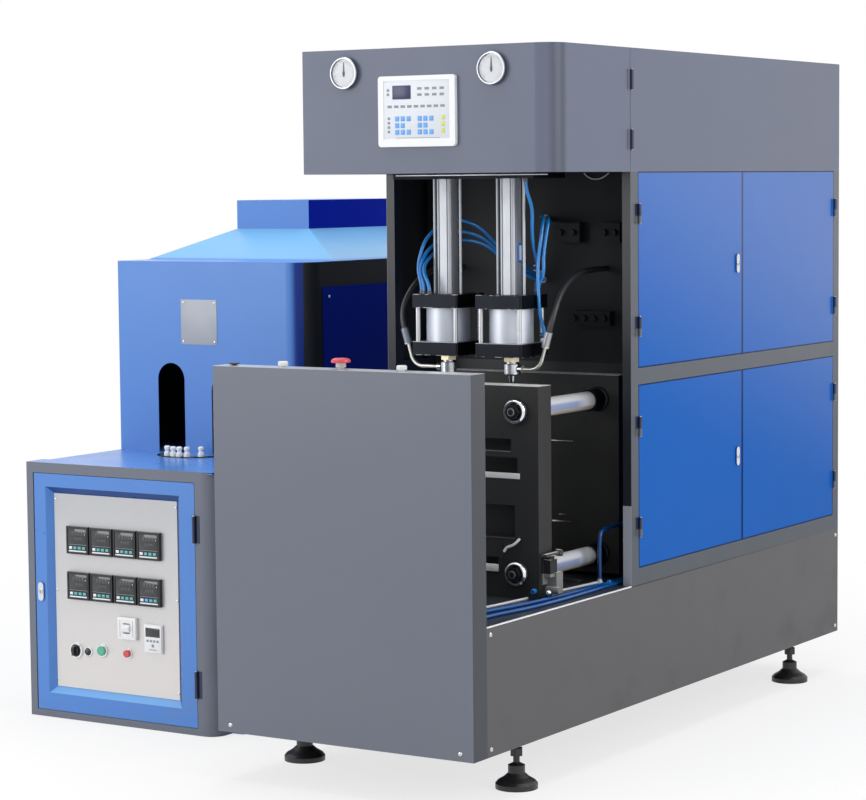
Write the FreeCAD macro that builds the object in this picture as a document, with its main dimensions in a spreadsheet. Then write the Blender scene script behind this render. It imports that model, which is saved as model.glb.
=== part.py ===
import FreeCAD, Part
import math
import os
import re
import Sketcher

# Two-cavity stretch blow moulding machine with its preform heating oven.
# Lengths are millimetres. While it is drawn, X runs to the right across the machine
# from its left side, Y runs back from the face of the front guard box, and Z runs up
# from the floor. Every finished piece is then shifted so that the origin lies on the
# floor under the middle of the whole machine.

SIZES = (
    # blower as a whole
    ("machine_width", 780),
    ("machine_length", 2200),
    ("panel_sheet", 2),
    ("floor_gap", 128),
    ("base_height", 325),
    ("base_beam", 40),
    ("deck_plate", 6),
    ("foot_inset", 59),
    ("foot_setback", 305),
    ("foot_radius", 55),
    ("foot_stud_radius", 8.5),
    ("box_depth", 65),
    ("box_height", 954),
    ("screw_head", 6),
    ("screw_rise", 2.4),
    ("screw_inset", 19),
    # cabinet behind the moulding bay
    ("cabinet_front", 824),
    ("post_width", 26),
    ("post_depth", 41),
    ("low_rail", 46),
    ("lower_door", 499),
    ("middle_rail", 45),
    ("upper_door", 528),
    ("header_height", 329),
    ("door_gap", 1.5),
    ("door_depth", 20),
    ("door_skin", 2),
    ("hinge_length", 53),
    ("hinge_inset", 86),
    ("hinge_radius", 4.5),
    ("hinge_leaf", 1.5),
    ("hinge_half", 16),
    ("hinge_relief", 1.5),
    ("handle_wide", 20),
    ("handle_tall", 54),
    ("handle_rise", 5),
    ("handle_setback", 38),
    ("vent_count", 8),
    ("vent_wide", 260),
    ("vent_slot", 10),
    ("vent_pitch", 26),
    ("bay_wall", 1000),
    ("bay_beam", 40),
    # header with its swinging cover
    ("header_front", 420),
    ("cover_radius", 60),
    ("cover_gap", 2),
    ("bearer_tall", 60),
    ("gauge_radius", 43),
    ("gauge_rise", 14),
    ("gauge_left_x", 140),
    ("gauge_right_x", 597),
    ("gauge_z", 1838),
    ("panel_left", 250),
    ("panel_wide", 238),
    ("panel_low", 1641),
    ("panel_tall", 185),
    ("panel_rise", 12),
    # blow stations
    ("station_pitch", 200),
    ("station_y", 685),
    ("seal_low", 1079),
    ("flange_side", 145),
    ("flange_thick", 37),
    ("barrel_height", 92),
    ("barrel_radius", 60),
    ("barrel_bore", 50),
    ("cap_screw_head", 9),
    ("cap_screw_sink", 8),
    ("seal_rod_radius", 16),
    ("stretch_side", 45),
    ("stretch_bore", 16),
    ("sensor_slot", 4),
    ("sensor_slot_sink", 3),
    ("sensor_slot_shift", 13),
    ("stretch_rod_radius", 6),
    ("stretch_top", 1860),
    ("guide_offset", 41),
    ("guide_radius", 4),
    ("hanger_thick", 15),
    ("hanger_reach", 120),
    ("hanger_depth", 170),
    ("fit_gap", 0.05),
    # mould clamp
    ("platen_wide", 576),
    ("platen_front", 500),
    ("platen_thick", 68),
    ("platen_tall", 562),
    ("mover_front", 942),
    ("mover_thick", 56),
    ("rear_plate_y", 1310),
    ("tie_radius", 25),
    ("tie_inset", 64),
    ("tie_low", 67),
    ("tie_high", 495),
    ("tie_stud", 12),
    ("tie_nut", 18),
    ("tie_washer", 33),
    ("tie_washer_thick", 12),
    ("platen_web", 24),
    ("mould_hole", 6),
    ("mould_pitch_x", 360),
    ("mould_pitch_z", 300),
    ("clamp_radius", 90),
    ("clamp_bore", 80),
    ("clamp_rod_radius", 25),
    ("clamp_z", 740),
    ("clamp_stroke", 140),
    ("clamp_idle", 140),
    ("clamp_collar", 15),
    ("clamp_collar_thick", 25),
    ("clamp_head", 30),
    ("clamp_head_rim", 10),
    ("clamp_piston", 24),
    # preform oven and its control cabinet
    ("oven_aisle", 275),
    ("oven_width", 692),
    ("oven_front", 480),
    ("oven_rear", 1950),
    ("control_front", 403),
    ("control_width", 678),
    ("control_shift", 37),
    ("control_corner", 45),
    ("table_height", 747),
    ("table_thick", 6),
    ("door_margin", 24),
    ("door_right_margin", 64),
    ("door_bottom", 20),
    ("door_top", 30),
    ("control_door_depth", 20),
    ("recess_side", 42),
    ("recess_right", 54),
    ("recess_low", 50),
    ("recess_high", 38),
    ("recess_depth", 18),
    ("recess_bevel", 19),
    ("hood_front", 812),
    ("hood_wall", 4),
    ("hood_top", 1320),
    ("hood_corner", 72),
    ("arch_wide", 100),
    ("arch_top", 1016),
    ("lane_radius", 100),
    ("lane_centre_left", 297),
    ("lane_turn", 800),
    ("slot_width", 36),
    ("slot_depth", 3),
    ("hip_start", 960),
    ("stack_left", 212),
    ("stack_wide", 269),
    ("stack_front", 1135),
    ("stack_rear", 1650),
    ("stack_low", 1411),
    ("stack_top", 1498),
    ("side_panel_front", 899),
    ("side_panel_top", 1246),
    ("return_arch_top", 985),
    ("lamp_radius", 5),
    ("lamp_pitch", 25),
    ("lamp_count", 8),
    ("bank_front", 870),
    ("bank_rear", 1800),
    ("bank_low", 60),
    ("bank_tall", 225),
    ("bank_core", 40),
    ("bank_bracket", 10),
    ("bank_bracket_reach", 20),
    ("lamp_reach", 12),
    ("lamp_start", 25),
    ("reflector_sheet", 3),
    ("link_pitch", 38),
    ("link_wide", 14),
    ("link_tall", 6),
    ("holder_radius", 10),
    # instruments on the control door
    ("door_swing_gap", 4),
    ("plate_thick", 2),
    ("plate_ease", 0.5),
    ("controller_side", 80),
    ("controller_pitch", 86.5),
    ("controller_rise", 12),
    ("controller_left", 142),
    ("controller_low", 353),
    ("controller_row", 133),
    ("meter_rim", 5),
    ("meter_sink", 1.5),
    ("counter_left", 423),
    ("counter_low", 223),
    ("counter_wide", 57),
    ("counter_tall", 74),
    ("counter_rise", 8),
    ("counter_rim", 7),
    ("rocker_left", 358),
    ("rocker_height", 283),
    ("rocker_rise", 10),
    ("rocker_frame_wide", 58),
    ("rocker_frame_tall", 48),
    ("rocker_window_wide", 26),
    ("rocker_window_tall", 30),
    ("button_bush", 8.3),
    ("rocker_pivot", 2.2),
    ("tube_radius", 5),
)

V = FreeCAD.Vector
doc = FreeCAD.newDocument("BlowMouldingMachine")
sheet = doc.addObject("Spreadsheet::Sheet", "Sizes")
for row, (name, value) in enumerate(SIZES, 1):
    sheet.set("A%d" % row, name.replace("_", " "))
    sheet.set("B%d" % row, str(value))
    sheet.setAlias("B%d" % row, name)
doc.recompute()
NAMES = {name for name, value in SIZES}


# ---------------------------------------------------------------- helpers

def link(text):
    """An expression in which every size name points at its cell."""
    def cell(match):
        word = match.group(0)
        return "Sizes." + word if word in NAMES else word
    return re.sub(r"[a-z][a-z_0-9]*", cell, str(text))


def num(text):
    """The present value of an expression on the sizes."""
    return float(sheet.evalExpression(link(text)))


def bind(thing, prop, text):
    thing.setExpression(prop, link(text))


PLACES = {}


def place(thing, x="0", y="0", z="0", turn=None):
    if turn is not None:
        thing.Placement = FreeCAD.Placement(V(0, 0, 0), turn)
    PLACES[thing.Name] = (x, y, z)
    for axis, text in zip("xyz", (x, y, z)):
        bind(thing, "Placement.Base." + axis, text)
    return thing


def block(name, x, y, z, wide, deep, tall):
    """A plain rectangular bar or plate, by its low corner and its sides."""
    bar = doc.addObject("Part::Box", name)
    for prop, text in (("Length", wide), ("Width", deep), ("Height", tall)):
        bind(bar, prop, text)
    return place(bar, x, y, z)


def rod(name, x, y, z, radius, length, along="z"):
    """A round bar that starts at a point and runs up, back or to the right."""
    bar = doc.addObject("Part::Cylinder", name)
    bind(bar, "Radius", radius)
    bind(bar, "Height", length)
    turns = {"z": None, "x": FreeCAD.Rotation(V(0, 1, 0), 90), "y": FreeCAD.Rotation(V(1, 0, 0), -90)}
    return place(bar, x, y, z, turns[along])


def fuse(name, parts):
    joined = doc.addObject("Part::MultiFuse", name)
    joined.Shapes = parts
    joined.Refine = True
    return joined


def group(name, parts):
    """Separate solids that share one name, such as a set of screws."""
    bundle = doc.addObject("Part::Compound", name)
    bundle.Links = parts
    return bundle


def origin_plane(body, role):
    return [item for item in body.Origin.OriginFeatures if item.Role == role][0]


def sketch(body, role, offset, loops):
    """Closed loops on an origin plane: lists of corners, or (x, y, radius) circles."""
    drawing = body.newObject("Sketcher::SketchObject", body.Name + "_sketch")
    drawing.AttachmentSupport = [(origin_plane(body, role), "")]
    drawing.MapMode = "FlatFace"
    bind(drawing, "AttachmentOffset.Base.z", "-(%s)" % offset if role == "XZ_Plane" else offset)
    for loop in loops:
        first = drawing.GeometryCount
        if isinstance(loop, tuple):
            centre = V(num(loop[0]), num(loop[1]), 0)
            drawing.addGeometry(Part.Circle(centre, V(0, 0, 1), num(loop[2])), False)
            rules = [("DistanceX", 3, loop[0], centre.x), ("DistanceY", 3, loop[1], centre.y)]
            for kind, point, text, value in rules:
                rule = drawing.addConstraint(Sketcher.Constraint(kind, -1, 1, first, point, value))
                bind(drawing, "Constraints[%d]" % rule, text)
            rule = drawing.addConstraint(Sketcher.Constraint("Radius", first, num(loop[2])))
            bind(drawing, "Constraints[%d]" % rule, loop[2])
            continue
        corners = [V(num(a), num(b), 0) for a, b in loop]
        count = len(corners)
        for i in range(count):
            drawing.addGeometry(Part.LineSegment(corners[i], corners[(i + 1) % count]), False)
        for i in range(count):
            follower = first + (i + 1) % count
            drawing.addConstraint(Sketcher.Constraint("Coincident", first + i, 2, follower, 1))
        for i, (a, b) in enumerate(loop):
            for kind, text, value in (("DistanceX", a, corners[i].x), ("DistanceY", b, corners[i].y)):
                rule = drawing.addConstraint(Sketcher.Constraint(kind, -1, 1, first + i, 1, value))
                bind(drawing, "Constraints[%d]" % rule, text)
    return drawing


def rectangle(a, b, c, d):
    return [(a, b), (c, b), (c, d), (a, d)]


def start(name):
    return doc.addObject("PartDesign::Body", name)


def pad(body, role, offset, length, loops):
    """Material from the offset plane towards +X, +Y or +Z."""
    feature = body.newObject("PartDesign::Pad", body.Name + "_pad")
    feature.Profile = sketch(body, role, offset, loops)
    feature.Reversed = role == "XZ_Plane"
    bind(feature, "Length", length)
    doc.recompute()
    return feature


def pocket(body, role, offset, length, loops):
    """A cut from the offset plane towards +X, +Y or +Z."""
    before = body.Shape.Volume
    feature = body.newObject("PartDesign::Pocket", body.Name + "_pocket")
    feature.Profile = sketch(body, role, offset, loops)
    feature.Reversed = role != "XZ_Plane"
    bind(feature, "Length", length)
    doc.recompute()
    if not body.Shape.Volume < before - 0.01:
        raise RuntimeError("pocket in %s removes nothing" % body.Name)
    return feature


def round_edges(body, radius, wanted, kind="PartDesign::Fillet"):
    """Fillet or chamfer the edges of the finished body that a test picks."""
    tip = body.Tip
    names = ["Edge%d" % (i + 1) for i, edge in enumerate(tip.Shape.Edges) if wanted(edge)]
    if not names:
        raise RuntimeError("no edge to round on " + body.Name)
    feature = body.newObject(kind, body.Name + "_round")
    feature.Base = (tip, names)
    bind(feature, "Radius" if kind.endswith("Fillet") else "Size", radius)
    doc.recompute()
    return feature


def upright(edge, x=None, y=None):
    """True for a vertical straight edge, if asked at this place."""
    box = edge.BoundBox
    flat = box.XLength < 0.01 and box.YLength < 0.01
    near = (x is None or abs(box.XMin - x) < 0.05) and (y is None or abs(box.YMin - y) < 0.05)
    return flat and near


def turned(name, profile):
    """A turned piece about Z from (radius, height) corners."""
    body = start(name)
    feature = body.newObject("PartDesign::Revolution", name + "_turn")
    feature.Profile = sketch(body, "XZ_Plane", "0", [profile])
    feature.ReferenceAxis = (feature.Profile[0], ["V_Axis"])
    feature.Angle = 360
    doc.recompute()
    return body


def turned_group(name, profile, spots, turn=None):
    """The same turned piece at several places."""
    pieces = []
    for i, (x, y, z) in enumerate(spots, 1):
        pieces.append(place(turned("%s_%d" % (name, i), profile), x, y, z, turn))
    return pieces


FACING_FRONT = FreeCAD.Rotation(V(1, 0, 0), 90)
FACING_RIGHT = FreeCAD.Rotation(V(0, 1, 0), 90)

CENTRE_X = ("((machine_width + hinge_leaf + 2 * hinge_radius"
            " - oven_aisle - control_shift - control_width) / 2)")
CENTRE_Y = "((machine_length - screw_rise) / 2)"
KEPT = []


def node(label, thing):
    """Name a finished piece and shift it into the machine's own frame."""
    thing.Label = label
    x, y, z = PLACES.get(thing.Name, ("0", "0", "0"))
    bind(thing, "Placement.Base.x", "(%s) - %s" % (x, CENTRE_X))
    bind(thing, "Placement.Base.y", "(%s) - %s" % (y, CENTRE_Y))
    bind(thing, "Placement.Base.z", z)
    KEPT.append(thing)
    return thing


def tube(label, points, radius):
    """Bent tube: straight runs joined by tangent arcs as large as the runs allow."""
    spots = [V(*point) for point in points]
    edges = []
    here = spots[0]
    radii = []
    for before, corner, after in zip(spots, spots[1:], spots[2:]):
        into = (corner - before).normalize()
        out = (after - corner).normalize()
        half = into.getAngle(out) / 2
        trim = 0.45 * min((corner - before).Length, (after - corner).Length)
        radii.append(trim / math.tan(half))
        first = corner - into * trim
        last = corner + out * trim
        middle_way = (out - into).normalize()
        centre = corner + middle_way * (radii[-1] / math.cos(half))
        middle = centre - middle_way * radii[-1]
        edges.append(Part.LineSegment(here, first).toShape())
        edges.append(Part.Arc(first, middle, last).toShape())
        here = last
    edges.append(Part.LineSegment(here, spots[-1]).toShape())
    path = Part.Wire(edges)
    heading = spots[1] - spots[0]
    ring = Part.Wire([Part.Circle(spots[0], heading, radius).toShape()])
    shape = path.makePipeShell([ring], True, False)
    ratio = shape.Volume / (math.pi * radius ** 2 * path.Length)
    print("tube", label, "length %.0f" % path.Length, "least radius %.1f" % min(radii), "volume %.4f" % ratio)
    return shape


# ---------------------------------------------------------------- shared places

BASE_TOP = "(floor_gap + base_height)"
DOOR_LOW = "(floor_gap + base_height + low_rail)"
RAIL_MID = "(floor_gap + base_height + low_rail + lower_door)"
DOOR_HIGH = "(floor_gap + base_height + low_rail + lower_door + middle_rail)"
HEADER = "(floor_gap + base_height + low_rail + lower_door + middle_rail + upper_door)"
ROOF = "(floor_gap + base_height + low_rail + lower_door + middle_rail + upper_door + header_height)"
BOX_TOP = "(floor_gap + box_height)"
BAY_TOP = "(floor_gap + base_height + low_rail + lower_door + middle_rail)"
REAR_POST = "(machine_length - post_depth)"
DOOR_RUN = "((machine_length - cabinet_front - 2 * post_depth) / 2)"
STATIONS = {"left": "(machine_width / 2 - station_pitch / 2)",
            "right": "(machine_width / 2 + station_pitch / 2)"}
UPPER_FLANGE = "(seal_low + flange_thick + barrel_height)"
STACK_TOP = "(seal_low + 2 * flange_thick + barrel_height)"

# ---------------------------------------------------------------- base and feet

beams = []
for side, x in (("left", "panel_sheet"), ("right", "machine_width - panel_sheet - base_beam")):
    beams.append(block("long_beam_" + side, x, "box_depth", "floor_gap",
                       "base_beam", "machine_length - panel_sheet - box_depth", "base_beam"))
    for spot, y in (("front", "box_depth"), ("middle", "machine_length / 2"),
                    ("rear", "machine_length - panel_sheet - base_beam")):
        beams.append(block("upright_%s_%s" % (side, spot), x, y, "floor_gap", "base_beam", "base_beam",
                           "base_height - deck_plate"))
for spot, y in (("front", "box_depth"), ("feet_front", "foot_setback - base_beam / 2"),
                ("feet_rear", "machine_length - foot_setback + 75 - base_beam / 2"),
                ("rear", "machine_length - panel_sheet - base_beam")):
    beams.append(block("cross_beam_" + spot, "panel_sheet", y, "floor_gap",
                       "machine_width - 2 * panel_sheet", "base_beam", "base_beam"))
beams.append(block("deck", "panel_sheet", "box_depth", BASE_TOP + " - deck_plate",
                   "machine_width - 2 * panel_sheet", "machine_length - panel_sheet - box_depth",
                   "deck_plate"))
node("base_frame", fuse("base_frame_weldment", beams))

FOOT_SPOTS = [(x, y, "0") for x in ("foot_inset", "machine_width - foot_inset")
              for y in ("foot_setback", "machine_length - foot_setback + 75")]
foot_profile = [("0", "0"), ("foot_radius", "0"), ("foot_radius", "13"), ("foot_radius - 6", "20"),
                ("foot_radius - 21", "29"), ("24", "38"), ("22", "40"), ("22", "60"), ("12", "65"),
                ("foot_stud_radius", "67"), ("foot_stud_radius", "floor_gap"),
                ("0", "floor_gap")]
feet = turned_group("foot", foot_profile, FOOT_SPOTS)


def hex_nut(name, x, y, z, across, height, bore, along="z"):
    """A hexagon nut on a stud, by the radius of its corners."""
    body = start(name)
    corners = [("(%s) * %.6f" % (across, math.cos(math.radians(60 * i))),
                "(%s) * %.6f" % (across, math.sin(math.radians(60 * i)))) for i in range(6)]
    pad(body, "XY_Plane", "0", height, [corners, ("0", "0", bore)])
    turns = {"z": None, "y": FreeCAD.Rotation(V(1, 0, 0), -90)}
    return place(body, x, y, z, turns[along])


for i, (x, y, z) in enumerate(FOOT_SPOTS, 1):
    feet.append(hex_nut("foot_nut_%d" % i, x, y, "84", "17.5", "20", "foot_stud_radius"))
node("levelling_feet", group("levelling_feet_set", feet))

# ---------------------------------------------------------------- front guard box

guard = start("guard_box")
pad(guard, "XY_Plane", "floor_gap", "box_height", [rectangle("0", "0", "machine_width", "box_depth")])
pocket(guard, "XY_Plane", "floor_gap", "box_height - panel_sheet",
       [rectangle("panel_sheet", "panel_sheet", "machine_width - panel_sheet", "box_depth - panel_sheet")])
BUTTONS = {"plain_button": "45", "left_start_button": "200", "emergency_stop": "378",
           "right_start_button": "560"}
BUTTON_Y = "(box_depth / 2)"
pocket(guard, "XY_Plane", BOX_TOP + " - panel_sheet", "panel_sheet",
       [(x, BUTTON_Y, "8.3") for x in BUTTONS.values()])
node("front_guard_box", guard)

# caps stand clear of the box by the travel and turn in a bushing hole
button_profile = [("0", "-20"), ("8", "-20"), ("8", "4.5"), ("13", "4.5"), ("13", "13"), ("11", "15"),
                  ("0", "15")]
flat_profile = [("0", "-20"), ("8", "-20"), ("8", "3.5"), ("14", "3.5"), ("14", "7"), ("0", "7")]
stop_profile = [("0", "-20"), ("8", "-20"), ("8", "5"), ("13", "5"), ("13", "16"), ("24", "17"),
                ("25", "20"), ("23", "25"), ("16", "28"), ("0", "29")]
BUTTON_SHAPES = {"plain_button": flat_profile, "left_start_button": button_profile,
                 "emergency_stop": stop_profile, "right_start_button": button_profile}
for label, x in BUTTONS.items():
    node(label, place(turned(label + "_body", BUTTON_SHAPES[label]), x, BUTTON_Y, BOX_TOP))

# ---------------------------------------------------------------- cabinet frame

frame_bars = []
for side, x in (("left", "0"), ("right", "machine_width - post_width")):
    for end, y in (("front", "cabinet_front"), ("rear", REAR_POST)):
        frame_bars.append(block("post_%s_%s" % (side, end), x, y, BASE_TOP, "post_width", "post_depth",
                                HEADER + " - " + BASE_TOP))
    for level, z, tall in (("low", BASE_TOP, "low_rail"), ("middle", RAIL_MID, "middle_rail")):
        frame_bars.append(block("rail_%s_%s" % (side, level), x, "cabinet_front", z, "post_width",
                                "machine_length - cabinet_front", tall))
for level, z, tall in (("low", BASE_TOP, "low_rail"), ("middle", RAIL_MID, "middle_rail")):
    frame_bars.append(block("rear_rail_" + level, "0", REAR_POST, z, "machine_width", "post_depth", tall))
frame_bars.append(block("bay_cross_beam", "0", "bay_wall", RAIL_MID, "machine_width", "bay_beam",
                        "middle_rail"))
node("cabinet_frame", fuse("cabinet_weldment", frame_bars))


def side_panel(name, role, offset, a, b, c, d):
    """A plain removable panel that fills one opening of the frame."""
    panel = start(name)
    pad(panel, role, offset, "panel_sheet", [rectangle(a, b, c, d)])
    return panel


panels = []
for level, low, high in (("lower", DOOR_LOW, RAIL_MID), ("upper", DOOR_HIGH, HEADER)):
    panels.append(side_panel("left_panel_" + level, "YZ_Plane", "0", "cabinet_front + post_depth", low,
                             REAR_POST, high))
    rear = side_panel("rear_panel_" + level, "XZ_Plane", "machine_length - panel_sheet", "post_width", low,
                      "machine_width - post_width", high)
    slots = []
    for i in range(int(num("vent_count"))):
        z = "%s + 80 + %d * vent_pitch" % (low, i)
        slots.append(rectangle("machine_width / 2 - vent_wide / 2", z, "machine_width / 2 + vent_wide / 2",
                               z + " + vent_slot"))
    pocket(rear, "XZ_Plane", "machine_length - panel_sheet", "panel_sheet", slots)
    panels.append(rear)
for side, x in (("left", "0"), ("right", "machine_width - panel_sheet")):
    panels.append(side_panel("base_panel_" + side, "YZ_Plane", x, "box_depth", "floor_gap",
                             "machine_length", BASE_TOP))
panels.append(side_panel("base_panel_rear", "XZ_Plane", "machine_length - panel_sheet", "panel_sheet",
                         "floor_gap", "machine_width - panel_sheet", BASE_TOP))
node("side_panels", group("side_panel_set", panels))

bay = start("bay_wall_body")
pad(bay, "XZ_Plane", "bay_wall", "panel_sheet",
    [rectangle("post_width", BAY_TOP, "machine_width - post_width", HEADER)])
node("bay_wall", bay)

# ---------------------------------------------------------------- cabinet doors and handles

HINGE_X = "(machine_width + hinge_leaf + hinge_radius)"


def hinge_half(name, edge, way, z, fixed):
    """One half of a hinge: the fixed half reaches under the pin, the swinging half stops short."""
    wide = "hinge_half" if fixed else "hinge_half - hinge_relief"
    gap = "0" if fixed else "hinge_relief"
    y = "%s + %s" % (edge, gap) if way > 0 else "%s - hinge_half" % edge
    return block(name, "machine_width", y, z, "hinge_leaf", wide, "hinge_length")


hinges = []
DOORS = []
for level, low, tall in (("lower", DOOR_LOW, "lower_door"), ("upper", DOOR_HIGH, "upper_door")):
    for end in ("front", "rear"):
        first = "(cabinet_front + post_depth + door_gap)" if end == "front" else \
            "(cabinet_front + post_depth + %s + door_gap / 2)" % DOOR_RUN
        last = "(cabinet_front + post_depth + %s - door_gap / 2)" % DOOR_RUN if end == "front" else \
            "(%s - door_gap)" % REAR_POST
        bottom = low + " + door_gap"
        top = low + " + " + tall + " - door_gap"
        name = "%s_%s_door" % (level, end)
        door = start(name + "_panel")
        pad(door, "YZ_Plane", "machine_width - door_depth", "door_depth", [rectangle(first, bottom, last, top)])
        pocket(door, "YZ_Plane", "machine_width - door_depth", "door_depth - door_skin",
               [rectangle(first + " + door_skin", bottom + " + door_skin", last + " - door_skin",
                          top + " - door_skin")])
        handle_y = last + " - handle_setback"
        handle_z = low + " + " + tall + " / 2"
        if end == "front":
            pocket(door, "YZ_Plane", "machine_width - door_skin", "door_skin",
                   [(handle_y, handle_z, "8 + fit_gap")])
        leaves = []
        edge = "(cabinet_front + post_depth)" if end == "front" else REAR_POST
        for spot, z in (("low", low + " + hinge_inset"), ("high", low + " + " + tall
                                                         + " - hinge_inset - hinge_length")):
            way = 1 if end == "front" else -1
            leaves.append(hinge_half("%s_leaf_%s" % (name, spot), edge, way, z, False))
            hinges.append(hinge_half("%s_post_leaf_%s" % (name, spot), edge, -way, z, True))
            hinges.append(rod("%s_pin_%s" % (name, spot), HINGE_X, edge, z, "hinge_radius", "hinge_length"))
        DOORS.append((name, edge, handle_y, handle_z))
        node(name, group(name + "_set", [door] + leaves))
        if end == "front":
            latch = start(level + "_latch")
            half = "(handle_tall / 2 - handle_wide / 2)"
            pad(latch, "YZ_Plane", "0", "handle_rise",
                [rectangle("-handle_wide / 2", "-handle_tall / 2", "handle_wide / 2", "handle_tall / 2")])
            round_edges(latch, "handle_wide / 2 - 0.5",
                        lambda edge: edge.BoundBox.YLength < 0.01 and edge.BoundBox.ZLength < 0.01)
            pad(latch, "YZ_Plane", "-door_skin - 8", "door_skin + 8", [("0", "0", "8")])
            node(level + "_door_handle", place(latch, "machine_width", handle_y, handle_z))

# ---------------------------------------------------------------- header and its swinging cover

front_roof = start("header_front_roof")
pad(front_roof, "XY_Plane", ROOF + " - 2 * panel_sheet", "panel_sheet",
    [rectangle("0", "header_front + 2 * panel_sheet", "machine_width - 2 * panel_sheet",
               "cabinet_front + 20")])
round_edges(front_roof, "cover_radius - 2 * panel_sheet",
            lambda edge: upright(edge, num("machine_width - 2 * panel_sheet"),
                                 num("header_front + 2 * panel_sheet")))
header_plates = [
    front_roof,
    block("header_roof", "0", "cabinet_front", ROOF + " - panel_sheet", "machine_width",
          "machine_length - cabinet_front", "panel_sheet"),
    block("header_right", "machine_width - panel_sheet", "cabinet_front", HEADER, "panel_sheet",
          "machine_length - cabinet_front", "header_height"),
    block("header_left", "0", "header_front + 2 * panel_sheet", HEADER, "panel_sheet",
          "machine_length - header_front - 2 * panel_sheet", "header_height - 2 * panel_sheet"),
    block("header_left_top", "0", "cabinet_front", HEADER, "panel_sheet",
          "machine_length - cabinet_front", "header_height"),
    block("header_rear", "0", "machine_length - panel_sheet", HEADER, "machine_width", "panel_sheet",
          "header_height"),
    block("header_cross", "panel_sheet", "cabinet_front", HEADER, "machine_width - 2 * panel_sheet",
          "post_depth", "bearer_tall"),
]
for side, x in STATIONS.items():
    header_plates.append(block("bearer_" + side, x + " - 65 - 15", "header_front + 100", HEADER, "30",
                               "cabinet_front - header_front - 100", "bearer_tall"))
node("header_shell", fuse("header_weldment", header_plates))

cover = start("cover_sheet")
COVER_END = "cabinet_front - cover_gap"
cover_outline = [("0", "header_front"), ("machine_width", "header_front"), ("machine_width", COVER_END),
                 ("machine_width - panel_sheet", COVER_END),
                 ("machine_width - panel_sheet", "header_front + panel_sheet"),
                 ("0", "header_front + panel_sheet")]
pad(cover, "XY_Plane", HEADER, "header_height", [cover_outline])
round_edges(cover, "cover_radius",
            lambda edge: upright(edge, num("machine_width"), num("header_front")))
round_edges(cover, "cover_radius - panel_sheet",
            lambda edge: upright(edge, num("machine_width - panel_sheet"), num("header_front + panel_sheet")))
cover_leaves = []
seam = "(cabinet_front - cover_gap / 2)"
for spot, z in (("low", HEADER + " + 59"), ("high", HEADER + " + 218")):
    cover_leaves.append(hinge_half("cover_leaf_" + spot, seam, -1, z, False))
    hinges.append(hinge_half("seam_leaf_" + spot, seam, 1, z, True))
    hinges.append(rod("seam_pin_" + spot, HINGE_X, seam, z, "hinge_radius", "hinge_length"))
node("header_cover", group("header_cover_set", [cover] + cover_leaves))

# ---------------------------------------------------------------- gauges and control panel

case_profile = [("0", "0"), ("gauge_radius - 3", "0"), ("gauge_radius - 3", "3"), ("gauge_radius", "4"),
                ("gauge_radius", "gauge_rise - 2"), ("gauge_radius - 2", "gauge_rise"),
                ("gauge_radius - 5", "gauge_rise"), ("gauge_radius - 6", "gauge_rise - 6"),
                ("0", "gauge_rise - 6")]
cases = turned_group("gauge_case", case_profile,
                     [("gauge_left_x", "header_front", "gauge_z"),
                      ("gauge_right_x", "header_front", "gauge_z")],
                     FACING_FRONT)
node("pressure_gauges", group("gauge_pair", cases))
for side in ("left", "right"):
    needle = start("needle_body_" + side)
    pad(needle, "XY_Plane", "gauge_rise - 5.7", "1.2",
        [[("-3", "-9"), ("3", "-9"), ("1.5", "gauge_radius - 14"), ("-1.5", "gauge_radius - 14")]])
    pad(needle, "XY_Plane", "gauge_rise - 5.7", "2.4", [("0", "0", "4")])
    node("gauge_needle_" + side,
         place(needle, "gauge_%s_x" % side, "header_front", "gauge_z", FACING_FRONT))

console = start("console_frame")
pad(console, "XZ_Plane", "header_front - panel_rise", "panel_rise",
    [rectangle("panel_left", "panel_low", "panel_left + panel_wide", "panel_low + panel_tall")])
pocket(console, "XZ_Plane", "header_front - panel_rise", "1.5",
       [rectangle("panel_left + 17", "panel_low + 20", "panel_left + panel_wide - 17",
                  "panel_low + panel_tall - 12")])
round_edges(console, "9", lambda edge: edge.BoundBox.XLength < 0.01 and edge.BoundBox.ZLength < 0.01
            and edge.BoundBox.YLength > num("panel_rise") - 0.01)
node("control_console", console)

# ---------------------------------------------------------------- blow stations

hanger = start("hanger_plate_body")
pad(hanger, "XY_Plane", HEADER + " - hanger_thick", "hanger_thick",
    [rectangle(STATIONS["left"] + " - hanger_reach", "station_y - hanger_depth / 2",
               STATIONS["right"] + " + hanger_reach", "station_y + hanger_depth / 2")]
    + [rectangle(x + " - stretch_side / 2 - 0.5", "station_y - stretch_side / 2 - 0.5",
                 x + " + stretch_side / 2 + 0.5", "station_y + stretch_side / 2 + 0.5")
       for x in STATIONS.values()])
node("hanger_plate", hanger)

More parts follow.
